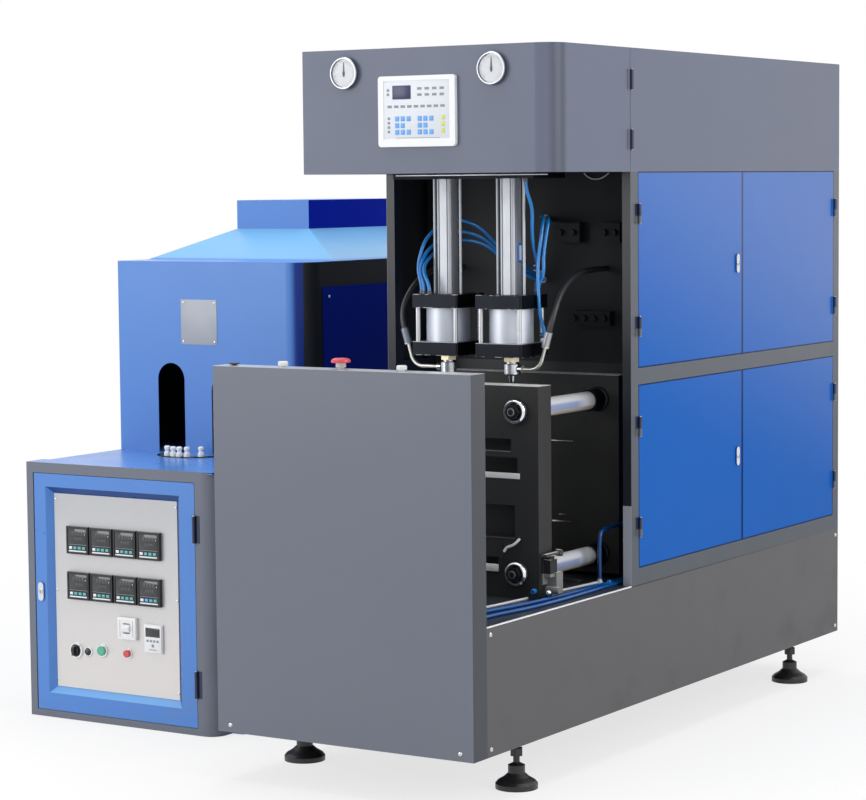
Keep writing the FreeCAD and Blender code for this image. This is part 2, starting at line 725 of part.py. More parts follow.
# long tie screws clamp each barrel between its flanges, with both heads sunk
SEAL_SPAN = "(2 * flange_thick + barrel_height)"
tie_profile = [("0", "0.5"), ("cap_screw_head", "0.5"), ("cap_screw_head", "cap_screw_sink"),
               ("6", "cap_screw_sink"), ("6", SEAL_SPAN + " - cap_screw_sink"),
               ("cap_screw_head", SEAL_SPAN + " - cap_screw_sink"), ("cap_screw_head", SEAL_SPAN + " - 0.5"),
               ("0", SEAL_SPAN + " - 0.5")]
stretch_tubes = []
flanges = []
barrels = []
tie_hardware = []
for side, x in STATIONS.items():
    column = start("stretch_tube_" + side)
    a = x + " - stretch_side / 2"
    b = x + " + stretch_side / 2"
    c = "station_y - stretch_side / 2"
    d = "station_y + stretch_side / 2"
    pad(column, "XY_Plane", STACK_TOP, "stretch_top - " + STACK_TOP,
        [rectangle(a, c, b, d), (x, "station_y", "stretch_bore")])
    round_edges(column, "7", lambda edge: upright(edge))
    # two narrow slots for position sensors run up each face
    for role, across, near in (("XZ_Plane", x, c), ("XZ_Plane", x, d + " - sensor_slot_sink"),
                               ("YZ_Plane", "station_y", a), ("YZ_Plane", "station_y", b + " - sensor_slot_sink")):
        pocket(column, role, near, "sensor_slot_sink",
               [rectangle("%s %s sensor_slot_shift - sensor_slot / 2" % (across, sign), STACK_TOP,
                          "%s %s sensor_slot_shift + sensor_slot / 2" % (across, sign), "stretch_top")
                for sign in "-+"])
    stretch_tubes.append(column)
    for way, sign in (("near", "-"), ("far", "+")):
        stretch_tubes.append(rod("guide_%s_%s" % (side, way), "%s %s guide_offset" % (x, sign), "station_y",
                                 STACK_TOP, "guide_radius", HEADER + " - hanger_thick - " + STACK_TOP))
    corners = [("%s %s (flange_side / 2 - 12.5)" % (x, p), "station_y %s (flange_side / 2 - 12.5)" % q)
               for p in "-+" for q in "-+"]
    for spot, z, bore, sink in (("low", "seal_low", "seal_rod_radius + fit_gap", "seal_low"),
                                ("high", UPPER_FLANGE, "stretch_rod_radius + fit_gap",
                                 STACK_TOP + " - cap_screw_sink")):
        plate = start("flange_%s_%s" % (spot, side))
        pad(plate, "XY_Plane", z, "flange_thick",
            [rectangle(x + " - flange_side / 2", "station_y - flange_side / 2", x + " + flange_side / 2",
                       "station_y + flange_side / 2"), (x, "station_y", bore)]
            + [(px, py, "6 + fit_gap") for px, py in corners])
        round_edges(plate, "5", lambda edge: upright(edge))
        pocket(plate, "XY_Plane", sink, "cap_screw_sink",
               [(px, py, "cap_screw_head + 0.5") for px, py in corners])
        flanges.append(plate)
    barrel = start("seal_barrel_" + side)
    pad(barrel, "XY_Plane", "seal_low + flange_thick", "barrel_height",
        [(x, "station_y", "barrel_radius"), (x, "station_y", "barrel_bore")])
    barrels.append(barrel)
    tie_hardware += turned_group("seal_tie_" + side, tie_profile, [(px, py, "seal_low") for px, py in corners])
    gland = start("gland_" + side)
    pad(gland, "XY_Plane", "seal_low - 15", "15",
        [[(x + " + 23 * %.5f" % math.cos(math.radians(60 * k)),
           "station_y + 23 * %.5f" % math.sin(math.radians(60 * k))) for k in range(6)],
         (x, "station_y", "seal_rod_radius + fit_gap")])
    tie_hardware.append(gland)
node("stretch_cylinders", group("stretch_set", stretch_tubes))
node("seal_flanges", group("flange_set", flanges))
node("seal_barrels", group("barrel_set", barrels))
node("seal_tie_rods", group("seal_tie_set", tie_hardware))

# piston and rod, collar with its air inlet, and the tapered nozzle below
seal_profile = [("stretch_rod_radius + fit_gap", "-68"), ("5.5 + 2", "-68"), ("9", "-54"), ("14", "-50"),
                ("21", "-50"), ("22", "-48"), ("22", "-22"), ("21", "-20"), ("seal_rod_radius", "-20"),
                ("seal_rod_radius", "flange_thick + barrel_height - 22"),
                ("barrel_bore - fit_gap", "flange_thick + barrel_height - 22"),
                ("barrel_bore - fit_gap", "flange_thick + barrel_height - 4"),
                ("stretch_rod_radius + fit_gap", "flange_thick + barrel_height - 4")]
rod_profile = [("0", "-72"), ("stretch_rod_radius - 1", "-72"), ("stretch_rod_radius", "-68"),
               ("stretch_rod_radius", "stretch_top - seal_low - 30"),
               ("stretch_bore - fit_gap", "stretch_top - seal_low - 30"),
               ("stretch_bore - fit_gap", "stretch_top - seal_low - 14"),
               ("0", "stretch_top - seal_low - 14")]
HOSE_RADIUS = 8
PIPE_RADIUS = 5
ELBOW_REACH = {"left": 112, "right": 86}
hoses = {}
for side, x in STATIONS.items():
    way = 1 if side == "right" else -1
    cx = num(x)
    cy = num("station_y")
    cz = num("seal_low") - 35
    core = place(turned("seal_core_" + side, seal_profile), x, "station_y", "seal_low")
    elbow = doc.addObject("Part::Feature", "air_elbow_" + side)
    reach = ELBOW_REACH[side]
    elbow_route = [(cx + way * 22, cy, cz), (cx + way * reach, cy, cz), (cx + way * (reach + 18), cy, cz + 60)]
    heading = V(way * 18, 0, 60).normalize()
    tip = V(*elbow_route[-1])
    ferrule = Part.makeCylinder(11, 44, tip, heading)
    banjo = Part.makeCylinder(11, 12, V(cx + way * 22, cy, cz), V(way, 0, 0))
    elbow.Shape = tube("air_elbow_" + side, elbow_route, PIPE_RADIUS).fuse([ferrule, banjo]).removeSplitter()
    node("seal_rod_" + side, group("seal_rod_set_" + side, [core, elbow]))
    node("stretch_rod_" + side,
         place(turned("stretch_rod_body_" + side, rod_profile), x, "station_y", "seal_low"))
    top = tip + heading * 44
    lane = top.x + way * 6
    wall = num("bay_wall")
    crest = num(STACK_TOP) + 61
    hoses[side] = [tuple(top), tuple(top + heading * 45), (lane + way * 4, cy + 50, crest - 51),
                   (lane + way * 4, cy + 130, crest - 8), (lane, cy + 225, crest), (lane, wall, crest)]
    hose = doc.addObject("Part::Feature", "hose_" + side)
    hose.Shape = tube("blow_hose_" + side, hoses[side], HOSE_RADIUS)
    node("blow_hose_" + side, hose)

# ---------------------------------------------------------------- mould clamp

PLATEN_LEFT = "(machine_width / 2 - platen_wide / 2)"
PLATEN_RIGHT = "(machine_width / 2 + platen_wide / 2)"
TIE_X = ("(%s + tie_inset)" % PLATEN_LEFT, "(%s - tie_inset)" % PLATEN_RIGHT)
TIE_Z = ("(%s + tie_low)" % BASE_TOP, "(%s + tie_high)" % BASE_TOP)
TIES = [(x, z) for x in TIE_X for z in TIE_Z]
MOULD_HOLES = [("machine_width / 2 %s mould_pitch_x / 2" % p, "clamp_z %s mould_pitch_z / 2" % q, "mould_hole")
               for p in "-+" for q in "-+"]


def platen(name, y, thick, low, tie_hole, extra):
    plate = start(name)
    pad(plate, "XZ_Plane", y, thick,
        [rectangle(PLATEN_LEFT, low, PLATEN_RIGHT, BASE_TOP + " + platen_tall")]
        + [(x, z, tie_hole) for x, z in TIES] + extra)
    return plate


front_platen = platen("front_platen_body", "platen_front", "platen_thick", BASE_TOP, "tie_stud + fit_gap",
                      MOULD_HOLES)
# four bays between the ribs lighten the outer side, down to the web that the mould half sits on
for low, high, half in (("74", "107", "166"), ("159", "247", "216"), ("325", "373", "225"),
                        ("388", "422", "205")):
    pocket(front_platen, "XZ_Plane", "platen_front", "platen_thick - platen_web",
           [rectangle("machine_width / 2 - " + half, BASE_TOP + " + " + low, "machine_width / 2 + " + half,
                      BASE_TOP + " + " + high)])
node("front_platen", front_platen)
mover = platen("moving_platen_body", "mover_front", "mover_thick", BASE_TOP + " + 12", "tie_radius + fit_gap",
               MOULD_HOLES)
node("moving_platen", mover)
rear_platen = platen("rear_platen_body", "rear_plate_y", "mover_thick", BASE_TOP, "tie_stud + fit_gap",
                     [("machine_width / 2", "clamp_z", "clamp_rod_radius + fit_gap")])
node("rear_platen", rear_platen)

bars = []
for i, (x, z) in enumerate(TIES):
    bars.append(rod("tie_bar_%d" % i, x, "platen_front + platen_thick", z, "tie_radius",
                    "rear_plate_y - platen_front - platen_thick", "y"))
    bars.append(rod("tie_stud_front_%d" % i, x, "platen_front - 32", z, "tie_stud", "platen_thick + 32", "y"))
    bars.append(rod("tie_stud_rear_%d" % i, x, "rear_plate_y", z, "tie_stud", "mover_thick + 32", "y"))
shafts = []
for i in range(len(TIES)):
    shafts.append(fuse("tie_shaft_%d" % i, bars[3 * i:3 * i + 3]))
washer_profile = [("tie_stud", "0"), ("tie_washer", "0"), ("tie_washer", "tie_washer_thick - 5"),
                  ("tie_washer - 2", "tie_washer_thick - 1.5"), ("tie_washer - 6", "tie_washer_thick"),
                  ("tie_stud", "tie_washer_thick")]
shafts += turned_group("tie_washer", washer_profile, [(x, "platen_front", z) for x, z in TIES], FACING_FRONT)
for i, (x, z) in enumerate(TIES):
    for end, y in (("front", "platen_front - tie_washer_thick - 16"), ("rear", "rear_plate_y + mover_thick")):
        shafts.append(hex_nut("tie_nut_%s_%d" % (end, i), x, y, z, "tie_nut / 0.866", "16", "tie_stud", "y"))
node("tie_bars", group("tie_bar_set", shafts))

CLAMP_Y = "(rear_plate_y + mover_thick)"
CLAMP_LONG = "(clamp_stroke + clamp_idle)"
CLAMP_CAP = "(%s - clamp_head)" % CLAMP_LONG
clamp_profile = [("clamp_rod_radius + fit_gap", "0"), ("clamp_radius + clamp_collar", "0"),
                 ("clamp_radius + clamp_collar", "clamp_collar_thick"), ("clamp_radius", "clamp_collar_thick"),
                 ("clamp_radius", CLAMP_CAP), ("clamp_radius + clamp_head_rim", CLAMP_CAP),
                 ("clamp_radius + clamp_head_rim", CLAMP_LONG), ("0", CLAMP_LONG), ("0", CLAMP_CAP),
                 ("clamp_bore", CLAMP_CAP), ("clamp_bore", "clamp_head"),
                 ("clamp_rod_radius + fit_gap", "clamp_head")]
BACKWARD = FreeCAD.Rotation(V(1, 0, 0), -90)
node("clamp_cylinder", place(turned("clamp_body", clamp_profile), "machine_width / 2", CLAMP_Y, "clamp_z",
                             BACKWARD))
MOVER_BACK = "(mover_front + mover_thick)"
REACH = "(rear_plate_y - mover_front + %s - 2 * clamp_head)" % CLAMP_LONG
piston_profile = [("0", "0"), ("clamp_rod_radius + 20", "0"), ("clamp_rod_radius + 20", "16"),
                  ("clamp_rod_radius", "16"), ("clamp_rod_radius", REACH + " - clamp_piston"),
                  ("clamp_bore - fit_gap", REACH + " - clamp_piston"), ("clamp_bore - fit_gap", REACH),
                  ("0", REACH)]
node("clamp_rod", place(turned("clamp_rod_body", piston_profile), "machine_width / 2", MOVER_BACK, "clamp_z",
                        BACKWARD))

# ---------------------------------------------------------------- oven body, table and track

OVEN_RIGHT = "(-oven_aisle)"
OVEN_LEFT = "(-oven_aisle - oven_width)"
CONTROL_RIGHT = "(-oven_aisle - control_shift)"
CONTROL_LEFT = "(-oven_aisle - control_shift - control_width)"
TABLE = "(table_height - table_thick)"
FRONT_TABLE = rectangle(CONTROL_LEFT + " + 6", "control_front + 6", CONTROL_RIGHT + " - 6", "oven_front")

oven_body = start("oven_base_body")
pad(oven_body, "XY_Plane", "0", TABLE, [rectangle(OVEN_LEFT, "oven_front", OVEN_RIGHT, "oven_rear")])
pocket(oven_body, "XY_Plane", "panel_sheet", TABLE + " - panel_sheet",
       [rectangle(OVEN_LEFT + " + panel_sheet", "oven_front + panel_sheet", OVEN_RIGHT + " - panel_sheet",
                  "oven_rear - panel_sheet")])
node("oven_base", oven_body)

LANE_X = "(%s + lane_centre_left)" % OVEN_LEFT
LANE_END = "(oven_rear - 200)"


def racetrack(body, cutter, reach, offset, length):
    """A stadium outline made of a rectangle and two rounds."""
    straight = rectangle(LANE_X + " - " + reach, "lane_turn", LANE_X + " + " + reach, LANE_END)
    for loop in (straight, (LANE_X, "lane_turn", reach), (LANE_X, LANE_END, reach)):
        cutter(body, "XY_Plane", offset, length, [loop])


table = start("table_body")
pad(table, "XY_Plane", TABLE, "table_thick", [rectangle(OVEN_LEFT, "oven_front", OVEN_RIGHT, "oven_rear")])
pad(table, "XY_Plane", TABLE, "table_thick", [FRONT_TABLE])
racetrack(table, pocket, "(lane_radius + slot_width / 2)", "table_height - slot_depth", "slot_depth")
racetrack(table, pad, "(lane_radius - slot_width / 2)", "table_height - slot_depth", "slot_depth")
node("oven_table", table)

# the carrier chain lies in the slot: links along both lanes and round both turns
lane_run = num(LANE_END) - num("lane_turn")
lane_r = num("lane_radius")
link_total = int((2 * lane_run + 2 * math.pi * lane_r) / num("link_pitch"))
link_step = (2 * lane_run + 2 * math.pi * lane_r) / link_total


def on_track(distance):
    """Place and heading at a distance along the middle of the slot."""
    cx = num(LANE_X)
    first = num("lane_turn")
    arc = math.pi * lane_r
    if distance < lane_run:
        return V(cx + lane_r, first + distance, 0), 90
    distance -= lane_run
    if distance < arc:
        angle = distance / lane_r
        return V(cx + lane_r * math.cos(angle), first + lane_run + lane_r * math.sin(angle), 0), \
            90 + math.degrees(angle)
    distance -= arc
    if distance < lane_run:
        return V(cx - lane_r, first + lane_run - distance, 0), 270
    angle = math.pi + (distance - lane_run) / lane_r
    return V(cx + lane_r * math.cos(angle), first + lane_r * math.sin(angle), 0), 90 + math.degrees(angle)


links = []
for i in range(link_total):
    spot, heading = on_track(i * link_step)
    bar = Part.makeBox(link_step - 4, num("link_wide"), num("link_tall"))
    bar.translate(V(-(link_step - 4) / 2, -num("link_wide") / 2, 0))
    bar.rotate(V(0, 0, 0), V(0, 0, 1), heading)
    bar.translate(spot + V(0, 0, num("table_height - slot_depth")))
    links.append(bar)
chain = doc.addObject("Part::Feature", "carrier_links")
chain.Shape = Part.makeCompound(links)
node("carrier_chain", chain)

LINK_TOP = "(table_height - slot_depth + link_tall)"
HOLDER_TURNS = (-112, -96, -83, -69, -45)
holder_profile = [("0", "0"), ("holder_radius", "0"), ("holder_radius", "10"), ("holder_radius - 3", "12"),
                  ("holder_radius - 3", "18"), ("holder_radius - 1", "20"), ("holder_radius - 1", "26"),
                  ("holder_radius - 4", "29"), ("0", "29")]
holder_spots = [("%s + lane_radius * %.5f" % (LANE_X, math.cos(math.radians(turn))),
                 "lane_turn + lane_radius * %.5f" % math.sin(math.radians(turn)), LINK_TOP)
                for turn in HOLDER_TURNS]
node("preform_holders", group("holder_set", turned_group("holder", holder_profile, holder_spots)))

# ---------------------------------------------------------------- oven hood, lamps and exhaust

hood = start("hood_body")
pad(hood, "XY_Plane", "table_height", "hood_top - table_height",
    [rectangle(OVEN_LEFT, "hood_front", OVEN_RIGHT, "oven_rear")])
round_edges(hood, "hood_corner", lambda edge: upright(edge, num(OVEN_RIGHT), num("hood_front")))
hip = hood.newObject("PartDesign::AdditiveLoft", "hood_hip")
hip.Profile = sketch(hood, "XY_Plane", "hood_top",
                     [rectangle(OVEN_LEFT, "hip_start", OVEN_RIGHT, "oven_rear")])
STACK_LEFT = "(%s + stack_left)" % OVEN_LEFT
STACK_RIGHT = "(%s + stack_left + stack_wide)" % OVEN_LEFT
hip.Sections = [sketch(hood, "XY_Plane", "stack_low",
                       [rectangle(STACK_LEFT, "stack_front", STACK_RIGHT, "stack_rear")])]
hip.Ruled = True
doc.recompute()
# the hollow keeps the sheet's thickness round the front corner too
for hollow in (rectangle(OVEN_LEFT + " + hood_wall", "hood_front + hood_wall", OVEN_RIGHT + " - hood_corner",
                         "oven_rear - hood_wall"),
               rectangle(OVEN_LEFT + " + hood_wall", "hood_front + hood_corner", OVEN_RIGHT + " - hood_wall",
                         "oven_rear - hood_wall"),
               (OVEN_RIGHT + " - hood_corner", "hood_front + hood_corner", "hood_corner - hood_wall")):
    pocket(hood, "XY_Plane", "table_height", "hood_top - table_height - hood_wall", [hollow])
attic = hood.newObject("PartDesign::SubtractiveLoft", "hood_attic")
attic.Profile = sketch(hood, "XY_Plane", "hood_top - hood_wall - 0.01",
                       [rectangle(OVEN_LEFT + " + hood_wall", "hip_start + hood_wall",
                                  OVEN_RIGHT + " - hood_wall", "oven_rear - hood_wall")])
attic.Sections = [sketch(hood, "XY_Plane", "stack_low - hood_wall",
                         [rectangle(STACK_LEFT + " + hood_wall", "stack_front + hood_wall",
                                    STACK_RIGHT + " - hood_wall", "stack_rear - hood_wall")])]
attic.Ruled = True
doc.recompute()
for x, top in (("%s - lane_radius" % LANE_X, "arch_top"), ("%s + lane_radius" % LANE_X, "return_arch_top")):
    spring = top + " - arch_wide / 2"
    for loop in (rectangle(x + " - arch_wide / 2", "table_height", x + " + arch_wide / 2", spring),
                 (x, spring, "arch_wide / 2")):
        pocket(hood, "XZ_Plane", "hood_front", "hood_wall", [loop])
node("oven_hood", hood)

side_sheet = start("side_sheet")
pad(side_sheet, "YZ_Plane", OVEN_RIGHT, "panel_sheet",
    [rectangle("side_panel_front", "table_height + 20", "oven_rear - 50", "side_panel_top")])
node("oven_side_panel", side_sheet)

stack = start("stack_body")
pad(stack, "XY_Plane", "stack_low", "stack_top - stack_low",
    [rectangle(STACK_LEFT, "stack_front", STACK_RIGHT, "stack_rear")])
pocket(stack, "XY_Plane", "stack_low", "stack_top - stack_low - panel_sheet",
       [rectangle(STACK_LEFT + " + panel_sheet", "stack_front + panel_sheet", STACK_RIGHT + " - panel_sheet",
                  "stack_rear - panel_sheet")])
node("exhaust_stack", stack)

# a bank of infra-red lamps on each side of one reflector, between the two lanes
bank = [block("reflector_" + side, LANE_X + shift, "bank_front + bank_bracket", "table_height",
              "reflector_sheet", "bank_rear - bank_front - 2 * bank_bracket", "bank_low + bank_tall")
        for side, shift in (("left", " - bank_core / 2"), ("right", " + bank_core / 2 - reflector_sheet"))]
for end, y in (("front", "bank_front"), ("rear", "bank_rear - bank_bracket")):
    bank.append(block("lamp_bracket_" + end, LANE_X + " - bank_core / 2 - bank_bracket_reach", y,
                      "table_height", "bank_core + 2 * bank_bracket_reach", "bank_bracket",
                      "bank_low + bank_tall"))
for side in "-+":
    for i in range(int(num("lamp_count"))):
        bank.append(rod("lamp_%s_%d" % ("left" if side == "-" else "right", i),
                        "%s %s (bank_core / 2 + lamp_reach)" % (LANE_X, side), "bank_front + bank_bracket",
                        "table_height + bank_low + lamp_start + %d * lamp_pitch" % i, "lamp_radius",
                        "bank_rear - bank_front - 2 * bank_bracket", "y"))
node("heating_banks", group("heating_set", bank))

# ---------------------------------------------------------------- control cabinet and door

shell = start("control_shell")
pad(shell, "XY_Plane", "0", "table_height",
    [rectangle(CONTROL_LEFT, "control_front", CONTROL_RIGHT, "oven_front")])
round_edges(shell, "control_corner", lambda edge: upright(edge, num(CONTROL_RIGHT), num("control_front")))
pocket(shell, "XY_Plane", TABLE, "table_thick", [FRONT_TABLE])
JAMB_LEFT = "(%s + door_margin)" % CONTROL_LEFT
JAMB_RIGHT = "(%s - door_right_margin)" % CONTROL_RIGHT
pocket(shell, "XZ_Plane", "control_front", "oven_front - control_front - panel_sheet",
       [rectangle(JAMB_LEFT, "door_bottom", JAMB_RIGHT, "table_height - door_top")])
node("control_cabinet", shell)

DOOR_A = "(%s + door_swing_gap)" % JAMB_LEFT
DOOR_B = "(%s - door_gap)" % JAMB_RIGHT
DOOR_C = "(door_bottom + door_gap)"
DOOR_D = "(table_height - door_top - door_gap)"
REC_A = DOOR_A + " + recess_side"
REC_B = DOOR_B + " - recess_right"
REC_C = DOOR_C + " + recess_low"
REC_D = DOOR_D + " - recess_high"
FLOOR_A = REC_A + " + recess_bevel"
FLOOR_B = REC_B + " - recess_bevel"
FLOOR_C = REC_C + " + recess_bevel"
FLOOR_D = REC_D + " - recess_bevel"
LOCK_X = "(%s + recess_side / 2)" % DOOR_A
LOCK_Z = "((door_bottom + table_height - door_top) / 2)"
PLATE_Y = "(control_front + recess_depth - plate_thick)"
leaf = start("control_door_body")
pad(leaf, "XZ_Plane", "control_front", "control_door_depth", [rectangle(DOOR_A, DOOR_C, DOOR_B, DOOR_D)])
pocket(leaf, "XZ_Plane", "control_front + door_skin", "control_door_depth",
       [rectangle(DOOR_A + " + door_skin", DOOR_C + " + door_skin", DOOR_B + " - door_skin",
                  DOOR_D + " - door_skin")])


def recess(kind, name, rim, depth):
    """The sunk middle of the door, narrowing with its depth; rim is what it keeps all round."""
    form = leaf.newObject("PartDesign::" + kind, name)
    form.Profile = sketch(leaf, "XZ_Plane", "control_front",
                          [rectangle(REC_A + " - " + rim, REC_C + " - " + rim, REC_B + " + " + rim,
                                     REC_D + " + " + rim)])
    form.Sections = [sketch(leaf, "XZ_Plane", "control_front + " + depth,
                            [rectangle(FLOOR_A + " - " + rim, FLOOR_C + " - " + rim, FLOOR_B + " + " + rim,
                                       FLOOR_D + " + " + rim)])]
    form.Ruled = True
    doc.recompute()


recess("AdditiveLoft", "recess_pan", "door_skin", "control_door_depth")
recess("SubtractiveLoft", "recess_hollow", "0", "recess_depth")
pocket(leaf, "XZ_Plane", "control_front", "door_skin", [(LOCK_X, LOCK_Z, "8 + fit_gap")])
PANEL_BUTTONS = {"selector_switch": ("163", "202"), "green_button": ("260.5", "209.5"),
                 "red_button": ("354", "209.5")}
bushes = [("%s + %s" % (CONTROL_LEFT, x), z, "button_bush") for x, z in PANEL_BUTTONS.values()]
pocket(leaf, "XZ_Plane", "control_front + recess_depth - 1", "control_door_depth - recess_depth + 2", bushes)
control_hinges = []
HINGE_Y = "(control_front - hinge_leaf - hinge_radius)"
for spot, z in (("low", "107"), ("high", "547")):
    control_hinges.append(rod("control_pin_" + spot, JAMB_RIGHT, HINGE_Y, z, "hinge_radius",
                              "hinge_length + 24"))
    control_hinges.append(block("control_leaf_" + spot, JAMB_RIGHT, "control_front - hinge_leaf", z,
                                "hinge_half", "hinge_leaf", "hinge_length + 24"))
control_leaves = [block("door_leaf_" + spot, JAMB_RIGHT + " - hinge_half", "control_front - hinge_leaf", z,
                        "hinge_half - hinge_relief", "hinge_leaf", "hinge_length + 24")
                  for spot, z in (("low", "107"), ("high", "547"))]
node("control_door", group("control_door_set", [leaf] + control_leaves))
node("hinge_pins", group("hinge_set", hinges + control_hinges))

face = start("instrument_face")
pad(face, "XZ_Plane", PLATE_Y, "plate_thick",
    [rectangle(FLOOR_A + " + plate_ease", FLOOR_C + " + plate_ease", FLOOR_B + " - plate_ease",
               FLOOR_D + " - plate_ease")] + bushes)
node("instrument_plate", face)

meters = []
for row in range(2):
    for column in range(4):
        meter = start("controller_%d_%d" % (row, column))
        x = "%s + controller_left + %d * controller_pitch" % (CONTROL_LEFT, column)
        z = "controller_low + %d * controller_row" % row
        pad(meter, "XZ_Plane", PLATE_Y + " - controller_rise", "controller_rise",
            [rectangle(x, z, x + " + controller_side", z + " + controller_side")])
        pocket(meter, "XZ_Plane", PLATE_Y + " - controller_rise", "meter_sink",
               [rectangle(x + " + meter_rim", z + " + meter_rim", x + " + controller_side - meter_rim",
                          z + " + controller_side - meter_rim")])
        meters.append(meter)
counter = start("counter_body")
COUNTER_X = "(%s + counter_left)" % CONTROL_LEFT
COUNTER_FACE = PLATE_Y + " - counter_rise"
pad(counter, "XZ_Plane", COUNTER_FACE, "counter_rise",
    [rectangle(COUNTER_X, "counter_low", COUNTER_X + " + counter_wide", "counter_low + counter_tall")])
pocket(counter, "XZ_Plane", COUNTER_FACE, "meter_sink",
       [rectangle(COUNTER_X + " + counter_rim", "counter_low + counter_rim",
                  COUNTER_X + " + counter_wide - counter_rim", "counter_low + counter_tall - counter_rim")])
meters.append(counter)
socket = start("rocker_housing")
ROCKER_X = "(%s + rocker_left)" % CONTROL_LEFT
ROCKER_Y = PLATE_Y + " - 7"
ROCKER_Z = "rocker_height"
pad(socket, "XZ_Plane", PLATE_Y + " - rocker_rise", "rocker_rise",
    [rectangle("%s - %s / 2" % (ROCKER_X, wide), "%s - %s / 2" % (ROCKER_Z, tall),
               "%s + %s / 2" % (ROCKER_X, wide), "%s + %s / 2" % (ROCKER_Z, tall))
     for wide, tall in (("rocker_frame_wide", "rocker_frame_tall"),
                        ("rocker_window_wide", "rocker_window_tall"))])
pocket(socket, "YZ_Plane", ROCKER_X + " - 16", "32", [(ROCKER_Y, ROCKER_Z, "rocker_pivot + fit_gap")])
meters.append(socket)
bezel = place(turned("selector_bezel", [("button_bush + 0.5", "0"), ("18", "0"), ("18", "3"), ("15", "5"),
                                        ("button_bush + 0.5", "5")]),
              "%s + %s" % (CONTROL_LEFT, PANEL_BUTTONS["selector_switch"][0]), PLATE_Y,
              PANEL_BUTTONS["selector_switch"][1], FACING_FRONT)
lamp = place(turned("pilot_lamp", [("0", "0"), ("11", "0"), ("11", "4"), ("8", "9"), ("0", "11")]),
             CONTROL_LEFT + " + 208", PLATE_Y, "202", FACING_FRONT)
node("panel_instruments", group("meter_set", meters + [bezel, lamp]))

rocker = start("rocker_body")
pad(rocker, "YZ_Plane", "-12.7", "25.4",
    [[("-12", "2"), ("-9", "-8"), ("-2", "-12"), ("2", "-6"), ("2", "6"), ("-6", "12")]])
pad(rocker, "YZ_Plane", "-15", "30", [("0", "0", "rocker_pivot")])
node("power_rocker", place(rocker, ROCKER_X, ROCKER_Y, ROCKER_Z))

knob = start("selector_body")
pad(knob, "XY_Plane", "5.5", "6", [("0", "0", "13")])
pad(knob, "XY_Plane", "11.5", "8", [rectangle("-4", "-13", "4", "13")])
pad(knob, "XY_Plane", "-plate_thick - 6", "plate_thick + 11.5", [("0", "0", "8")])
sx, sz = PANEL_BUTTONS["selector_switch"]
node("selector_switch", place(knob, "%s + %s" % (CONTROL_LEFT, sx), PLATE_Y, sz, FACING_FRONT))
for label, radius in (("green_button", "14"), ("red_button", "11")):
    bx, bz = PANEL_BUTTONS[label]
    cap = turned(label + "_body", [("0", "-plate_thick - 8"), ("8", "-plate_thick - 8"), ("8", "4"),
                                   (radius, "4"), (radius, "10"), (radius + " - 2", "12"), ("0", "12")])
    node(label, place(cap, "%s + %s" % (CONTROL_LEFT, bx), PLATE_Y, bz, FACING_FRONT))

lock = start("lock_body")
pad(lock, "XZ_Plane", "-handle_rise", "handle_rise",
    [rectangle("-handle_wide / 2", "-handle_tall / 2", "handle_wide / 2", "handle_tall / 2")])
round_edges(lock, "handle_wide / 2 - 0.5",
            lambda edge: edge.BoundBox.XLength < 0.01 and edge.BoundBox.ZLength < 0.01)
pad(lock, "XZ_Plane", "0", "door_skin + 8", [("0", "0", "8")])
node("control_lock", place(lock, LOCK_X, "control_front", LOCK_Z))

# ---------------------------------------------------------------- screws, valves and air tubes

head_profile = [("0", "0"), ("screw_head", "0"), ("screw_head - 1", "screw_rise - 0.6"),
                ("screw_head - 3", "screw_rise"), ("0", "screw_rise")]
screws = []
for i, x in enumerate(("screw_inset + 20", "machine_width - screw_inset - 20"), 1):
    screws += [place(turned("box_screw_%d" % i, head_profile), x, "0", "floor_gap + screw_inset", FACING_FRONT)]
for i, (y, z) in enumerate([(y, z) for y in ("box_depth + screw_inset", "machine_length - screw_inset")
                            for z in ("floor_gap + screw_inset", BASE_TOP + " - screw_inset")], 1):
    screws.append(place(turned("side_screw_%d" % i, head_profile), "machine_width", y, z, FACING_RIGHT))
node("panel_screws", group("screw_set", screws))

# the roller limit switch that feels the moving platen come forward
limit_switch = fuse("limit_switch", [
    block("switch_plate", PLATEN_RIGHT, "platen_front + 14", BASE_TOP + " + 40", "4", "46", "76"),
    block("switch_case", PLATEN_RIGHT, "platen_front + 40", BASE_TOP + " + 14", "30", "34", "56"),
    block("switch_neck", PLATEN_RIGHT, "platen_front + 18", BASE_TOP + " + 60", "24", "36", "46"),
    rod("switch_turret", PLATEN_RIGHT + " + 13", "platen_front + 36", BASE_TOP + " + 100", "12", "16"),
    block("switch_lever", PLATEN_RIGHT + " + 6", "platen_front + 10", BASE_TOP + " + 114", "12", "76", "7"),
    rod("switch_roller", PLATEN_RIGHT + " + 4", "platen_front + 86", BASE_TOP + " + 117", "9", "16", "x"),
    rod("switch_gland", PLATEN_RIGHT, "platen_front + 41", BASE_TOP + " + 24", "9", "38", "x"),
])
valves = [limit_switch,
          block("deck_valve", "machine_width - 90", "bay_wall + 100", BASE_TOP, "60", "60", "60")]
# two solenoid valves and a manifold on the wall of the bay, each with its round coils or ports
for label, shift, low, wide, tall, coils in (("left_valve", -27, 133, 79, 55, 2),
                                             ("right_valve", 116, 133, 62, 55, 2),
                                             ("manifold", 19, -96, 127, 39, 4)):
    x = "%s + (%d)" % (STATIONS["right"], shift)
    z = "%s + (%d)" % (STACK_TOP, low)
    forms = [block(label, x, "bay_wall - 30", z, str(wide), "30", str(tall))]
    for i in range(coils):
        forms.append(rod("%s_coil_%d" % (label, i),
                         "%s + %.1f" % (x, wide * (i + 0.5) / coils), "bay_wall - 42",
                         "%s + %.1f" % (z, tall / 2), "9", "20", "y"))
    valves.append(fuse(label + "_set", forms))
node("air_valves", group("valve_set", valves))

